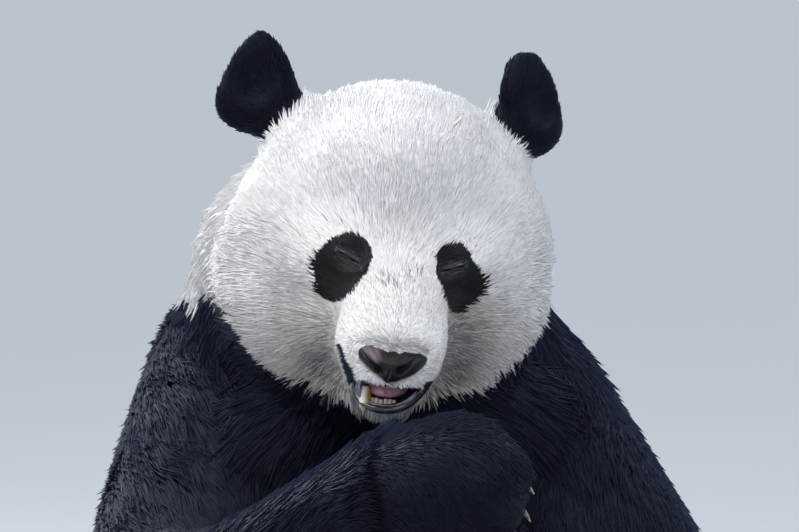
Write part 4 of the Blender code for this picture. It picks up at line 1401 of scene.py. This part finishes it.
# %% Lay the lips and the gum
MOUTH_HEIGHT = 105                    # millimetres down to the mouth's middle
# x and z of a middle line in millimetres, and the rim's radius
LOWER_LIP = ((-33, -90, 1.6), (-34.3, -95, 2.4), (-34.6, -100.5, 2.8), (-33.4, -107, 3.0),
             (-30.2, -113.2, 3.2), (-25, -118.8, 3.6), (-18, -122.3, 3.9), (-9, -123.8, 4.1),
             (2, -123.5, 4.1), (12, -121.7, 3.8), (21, -117, 3.2), (28.5, -110.5, 3.0),
             (33.5, -103, 2.6), (36, -96.5, 1.8))
UPPER_LIP = ((-32.5, -90, 1.6), (-28, -87.3, 1.8), (-22, -86.9, 1.8), (-14, -88.5, 1.8),
             (-4, -90.0, 1.8), (6, -89.4, 1.8), (17, -88.9, 1.8), (26, -90.4, 1.8), (34, -95, 1.6))
GUM = ((-29.2, -91, 2.0), (-29.4, -99, 2.5), (-28.4, -106, 2.7), (-25.4, -112, 2.6), (-20, -117, 2.3),
       (-12, -120.2, 1.8), (-3, -121, 1.8), (6, -120.4, 1.8), (15, -116.8, 2.0), (23, -110, 2.0),
       (29, -101.5, 1.8))


def lip_path(line, forward, outward=0.0):
    """A rim's path and radii: forward in metres, outward in millimetres."""
    path = []
    for x, z, _ in line:
        out = Vector((x, 0, z + MOUTH_HEIGHT)).normalized() * outward
        hit = face_at((x + out.x) / 1000, (z + out.z) / 1000)
        path.append([x / 1000, hit.y - forward, z / 1000])
    path = np.array(path)
    for _ in range(3):
        path[1:-1, 1] = (path[:-2, 1] + 2 * path[1:-1, 1] + path[2:, 1]) / 4
    return path, [radius / 1000 for _, _, radius in line]


add_head_piece("lip_lower", tube(*lip_path(LOWER_LIP, 0.0015)), slate_lip)
add_head_piece("lip_upper", tube(*lip_path(UPPER_LIP, -0.0045, 1.5)), slate_lip)
add_head_piece("gum_lower", tube(*lip_path(GUM, 0.0002, 3.0)), lilac_gum)
lip_front = lip_path(LOWER_LIP, 0.0)[0]
print("lower lip's front, mm:", [round(1000 * p[1]) for p in lip_front])
LIP_MIDDLE = lip_front[7, 1]          # y of the lower lip in front of the tongue

# %% [markdown]
# The tongue is a flattened ball with a furrow along its middle.

# %% Sculpt the tongue
TONGUE_MIDDLE = Vector((0.000, LIP_MIDDLE + 0.0265, -0.1050))
TONGUE_HALF = (0.0240, 0.0240, 0.0105)
TONGUE_ARCH = 0.0030
FURROW = 0.0022                       # its depth and its half width
tongue = bmesh.new()
bmesh.ops.create_uvsphere(tongue, u_segments=48, v_segments=32, radius=1.0)
for vertex in tongue.verts:
    x, y, z = (c * h for c, h in zip(vertex.co, TONGUE_HALF))
    z += TONGUE_ARCH * math.sin(y / TONGUE_HALF[1] * 1.2) - FURROW * ridge(x, FURROW) * (z > 0)
    vertex.co = TONGUE_MIDDLE + Vector((x, y, z))
add_head_piece("tongue_pad", tongue, pink_tongue, ["tongue"])

# %% [markdown]
# ## Teeth
# A blunt lower canine, worn and stained brown on one side, and a row of small front teeth.
# A tooth is a short cone whose top is rounded and bent a little back, so each starts as a
# cone with rings, is swollen at its neck, and then smoothed by a subdivision surface.

# %% Enamel
enamel, add = start_material("tooth_enamel_stained")
tooth_place = add("TexCoord").outputs["Object"]
blotch = add("TexNoise", {"Vector": tooth_place, "Scale": 70.0, "Detail": 2.0})
ivory = add("ValToRGB", {"Fac": blotch}, stops=((0.34, "#e6d3a8"), (0.50, "#f9f2e4")))
worn_side = add("Attribute", attribute_name="worn").outputs["Fac"]
browned = add("MixRGB", {"Fac": worn_side, "Color1": ivory, "Color2": linear("#b0843f")})
lines = add("TexNoise", {"Vector": tooth_place, "Scale": 900.0, "Detail": 2.0})
line_bump = add("Bump", {"Height": lines, "Strength": 0.15, "Distance": 0.0002})
end_material(enamel, add("BsdfPrincipled", {
    "Base Color": browned, "Roughness": 0.24, "IOR": 1.62, "Subsurface Weight": 0.08,
    "Subsurface Radius": (0.002, 0.0015, 0.001), "Normal": line_bump}))


# %% Shape the teeth


def tooth(foot, tip, width, depth, blunt):
    """One tooth from foot to tip: a cone of rings, swollen below its middle."""
    foot, tip = Vector(foot), Vector(tip)
    form = bmesh.new()
    bmesh.ops.create_cone(form, cap_ends=True, segments=12, radius1=1.0, radius2=blunt,
                          depth=(tip - foot).length)
    sides = [e for e in form.edges if abs(e.verts[0].co.z - e.verts[1].co.z) > 1e-4]
    bmesh.ops.subdivide_edges(form, edges=sides, cuts=3)
    half_length = (tip - foot).length / 2
    for vertex in form.verts:
        swell = 1 + 0.18 * math.cos(math.pi * vertex.co.z / (2 * half_length))
        vertex.co.x *= width / 2 * swell
        vertex.co.y *= depth / 2 * swell
    aim = (tip - foot).to_track_quat("Z", "Y").to_matrix().to_4x4()
    bmesh.ops.transform(form, matrix=Matrix.Translation((foot + tip) / 2) @ aim, verts=form.verts)
    bmesh.ops.subdivide_edges(form, edges=form.edges, cuts=2, smooth=0.8, use_grid_fill=True)
    soften(form, form.verts, 0.5, 3)
    bmesh.ops.recalc_face_normals(form, faces=form.faces)
    return form


TEETH_BACK = LIP_MIDDLE + 0.0040
canine = tooth((-0.0190, TEETH_BACK + 0.002, -0.1200), (-0.0206, TEETH_BACK, -0.1016),
               0.0124, 0.0104, 0.55)
brown = [smooth_step(-0.0230, -0.0165, v.co.x) for v in canine.verts]
canine_piece = add_head_piece("canine", canine, enamel, ["canine_lower_right"])
give_values(canine_piece.data, "worn", brown)
front_teeth = bmesh.new()
for number in range(6):
    across = -0.0126 + 0.0042 * number + 0.0003 * math.sin(5.1 * number)
    back = TEETH_BACK - 0.0010 + 0.00030 * (number - 3) ** 2
    wide = 0.0050 if number == 0 else 0.0042
    top = -0.1142 + 0.0006 * math.sin(2.3 * number)
    pour(tooth((across, back + 0.001, -0.1225), (across, back, top), wide, 0.0040, 0.74), front_teeth)
teeth_worn = [0.26 + 0.14 * math.sin(1500 * v.co.x) for v in front_teeth.verts]
teeth_piece = add_head_piece("front_teeth", front_teeth, enamel, ["incisors_lower"])
give_values(teeth_piece.data, "worn", teeth_worn)

# %% [markdown]
# ## Pads of the feet
# The pads are thick, cobbled leather like the nose, but dry and worn grey. Each is a ball
# pressed flat on the sole. The three across the sole run into one another, as on the animal.

# %% Pad leather
dry_pad, add = start_material("dry_pad_leather")
pad_place = add("TexCoord").outputs["Object"]
pad_cobbles = add("TexVoronoi", {"Vector": pad_place, "Scale": 600.0}, feature="DISTANCE_TO_EDGE")
pad_wear = add("TexNoise", {"Vector": pad_place, "Scale": 60.0, "Detail": 4.0})
pad_colour = add("ValToRGB", {"Fac": pad_wear}, stops=((0.3, "#1d191a"), (0.75, "#4a4243")))
pad_bump = add("Bump", {"Height": pad_cobbles, "Strength": 0.5, "Distance": 0.0008})
end_material(dry_pad, add("BsdfPrincipled", {
    "Base Color": pad_colour, "Roughness": 0.62, "Normal": pad_bump}))
print("pad material:", dry_pad.name)

# %% Build the pads
for limb in SOLE_SIDE:
    form = bmesh.new()
    for _, middle, normal, up, sizes in (pad for pad in pads if pad[0] == limb):
        lengthwise = (up - up.dot(normal) * normal).normalized()
        crosswise = lengthwise.cross(normal)
        pose = Matrix((crosswise, lengthwise, normal)).transposed().to_4x4()
        pose.translation = middle - 0.0015 * normal
        bmesh.ops.create_uvsphere(form, u_segments=28, v_segments=18, radius=1.0,
                                  matrix=pose @ Matrix.Diagonal((*sizes, 1)))
    mesh = mesh_from("pads_" + limb, form, smooth=True)
    add_object("pads_" + limb, mesh, dry_pad)
    print(mesh.name, len(mesh.polygons), "faces")

# %% [markdown]
# ## Claws
# Each claw is a curved horn, dark where it leaves the toe and pale and worn at its point,
# with fine lines along it. The CAD has a plain bent cone for each. A copy is welded, swollen
# a little and rounded by a subdivision surface, which draws it back to the cone's own size.

# %% Claw horn
claw_horn, add = start_material("claw_horn_worn")
horn_place = add("TexCoord").outputs["Object"]
horn_along = add("Attribute", attribute_name="along").outputs["Fac"]
horn_colour = add("ValToRGB", {
    "Fac": horn_along}, stops=((0.15, "#231d19"), (0.6, "#6f6252"), (1.0, "#b9ac94")))
horn_lines = add("TexNoise", {"Vector": horn_place, "Scale": 500.0, "Detail": 3.0})
horn_bump = add("Bump", {"Height": horn_lines, "Strength": 0.25, "Distance": 0.0004})
end_material(claw_horn, add("BsdfPrincipled", {
    "Base Color": horn_colour, "Roughness": 0.35, "Coat Weight": 0.15, "Coat Roughness": 0.25,
    "Normal": horn_bump}))
print("claw material:", claw_horn.name)

# %% Round the claws
CLAW_SWELL = 0.0012
for limb in SOLE_SIDE:
    foot = foot_of(limb)
    together = bmesh.new()
    shares_along = []
    for number in range(1, 6):
        claw = bmesh.new()
        claw.from_mesh(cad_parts[f"claw_{limb}_{number}"].data)
        bmesh.ops.remove_doubles(claw, verts=claw.verts, dist=WELD)
        claw.normal_update()
        reach = [(v.co - foot).length for v in claw.verts]
        for vertex, far in zip(claw.verts, reach):
            vertex.co += vertex.normal * CLAW_SWELL * (max(reach) - far) / (max(reach) - min(reach))
        rounded = modified(mesh_from("claw", claw), "SUBSURF", levels=2, render_levels=2)
        far = np.linalg.norm(read(rounded.vertices, "co", 3) - np.array(foot), axis=1)
        shares_along.append((far - far.min()) / (far.max() - far.min()))
        together.from_mesh(rounded)
        bpy.data.meshes.remove(rounded)
    mesh = mesh_from("claws_" + limb, together, smooth=True)
    give_values(mesh, "along", np.concatenate(shares_along))
    print(mesh.name, len(mesh.polygons), "faces")
    add_object("claws_" + limb, mesh, claw_horn,
               [f"claw_{limb}_{n}" for n in range(1, 6)])

# %% [markdown]
# ## Floor, light and camera
# A pale studio floor, a bright sky with a dark band low over the horizon, three soft lamps
# and a long lens a little above the animal's eyes. The key lamp hangs high in front on the
# left, another behind on the left lights the rim of the fur, and a weak one fills in front.

# %% Floor
floor_form = bmesh.new()
bmesh.ops.create_circle(floor_form, cap_ends=True, segments=96, radius=150)
floor_mesh = mesh_from("floor", floor_form)
floor = place_object("floor", floor_mesh)
floor_material, add = start_material("matt_pale_paint")
end_material(floor_material, add("BsdfPrincipled", {"Base Color": linear("#b0b3b7"), "Roughness": 0.8}))
floor_mesh.materials.append(floor_material)
print("floor: a disc 300 m across")

# %% Camera
LOOK_AT = head_origin + Vector((0.0116, 0, -0.016))
CAMERA_DISTANCE = 3.5
CAMERA_RISE = math.radians(5)
FRAME_WIDTH = 0.799                   # metres across the view at the head
camera_data = bpy.data.cameras.new("camera")
camera_data.sensor_width = 36
camera_data.lens = camera_data.sensor_width * CAMERA_DISTANCE / FRAME_WIDTH
camera = place_object("camera", camera_data)
camera.location = LOOK_AT + CAMERA_DISTANCE * Vector((0, -math.cos(CAMERA_RISE), math.sin(CAMERA_RISE)))
camera.rotation_euler = (LOOK_AT - camera.location).to_track_quat("-Z", "Y").to_euler()
bpy.context.scene.camera = camera
print("lens, mm: %.0f" % camera_data.lens)

# %% Lamps and sky
LAMPS_AIM = Vector((0, 0, 0.6))
# name: (place, size, power in watts, colour)
LAMPS = {
    "key": ((-1.9, -1.6, 3.1), 1.8, 52, "#fffaf4"),
    "front": ((0.6, -3.2, 2.4), 2.0, 30, "#f6f8ff"),
    "rim": ((-2.0, 1.4, 2.4), 1.6, 62, "#f4f7ff"),
}
for name, (place, size, power, colour) in LAMPS.items():
    lamp_data = bpy.data.lights.new(name, "AREA")
    lamp_data.size = size
    lamp_data.energy = power
    lamp_data.color = linear(colour)[:3]
    lamp = place_object(name, lamp_data)
    lamp.location = place
    lamp.rotation_euler = (LAMPS_AIM - Vector(place)).to_track_quat("-Z", "Y").to_euler()
world = bpy.data.worlds.new("studio")
bpy.context.scene.world = world
world.use_nodes = True
world.node_tree.nodes.clear()
sky_way = add_node(world, "TexCoord")
sky_parts = add_node(world, "SeparateXYZ", {"Vector": sky_way.outputs["Generated"]})
sky = add_node(world, "ValToRGB", {
    "Fac": sky_parts.outputs["Z"]}, stops=((0.0, "#9197a0"), (0.06, "#9197a0"), (0.11, "#646a70"),
    (0.35, "#90969e"), (0.7, "#e8edf4"), (1.0, "#d6dbe2")))
background = add_node(world, "Background", {"Color": sky, "Strength": 1.75})
add_node(world, "OutputWorld", {"Surface": background})
bpy.context.scene.view_settings.view_transform = "Standard"
print("lamps:", ", ".join(LAMPS))
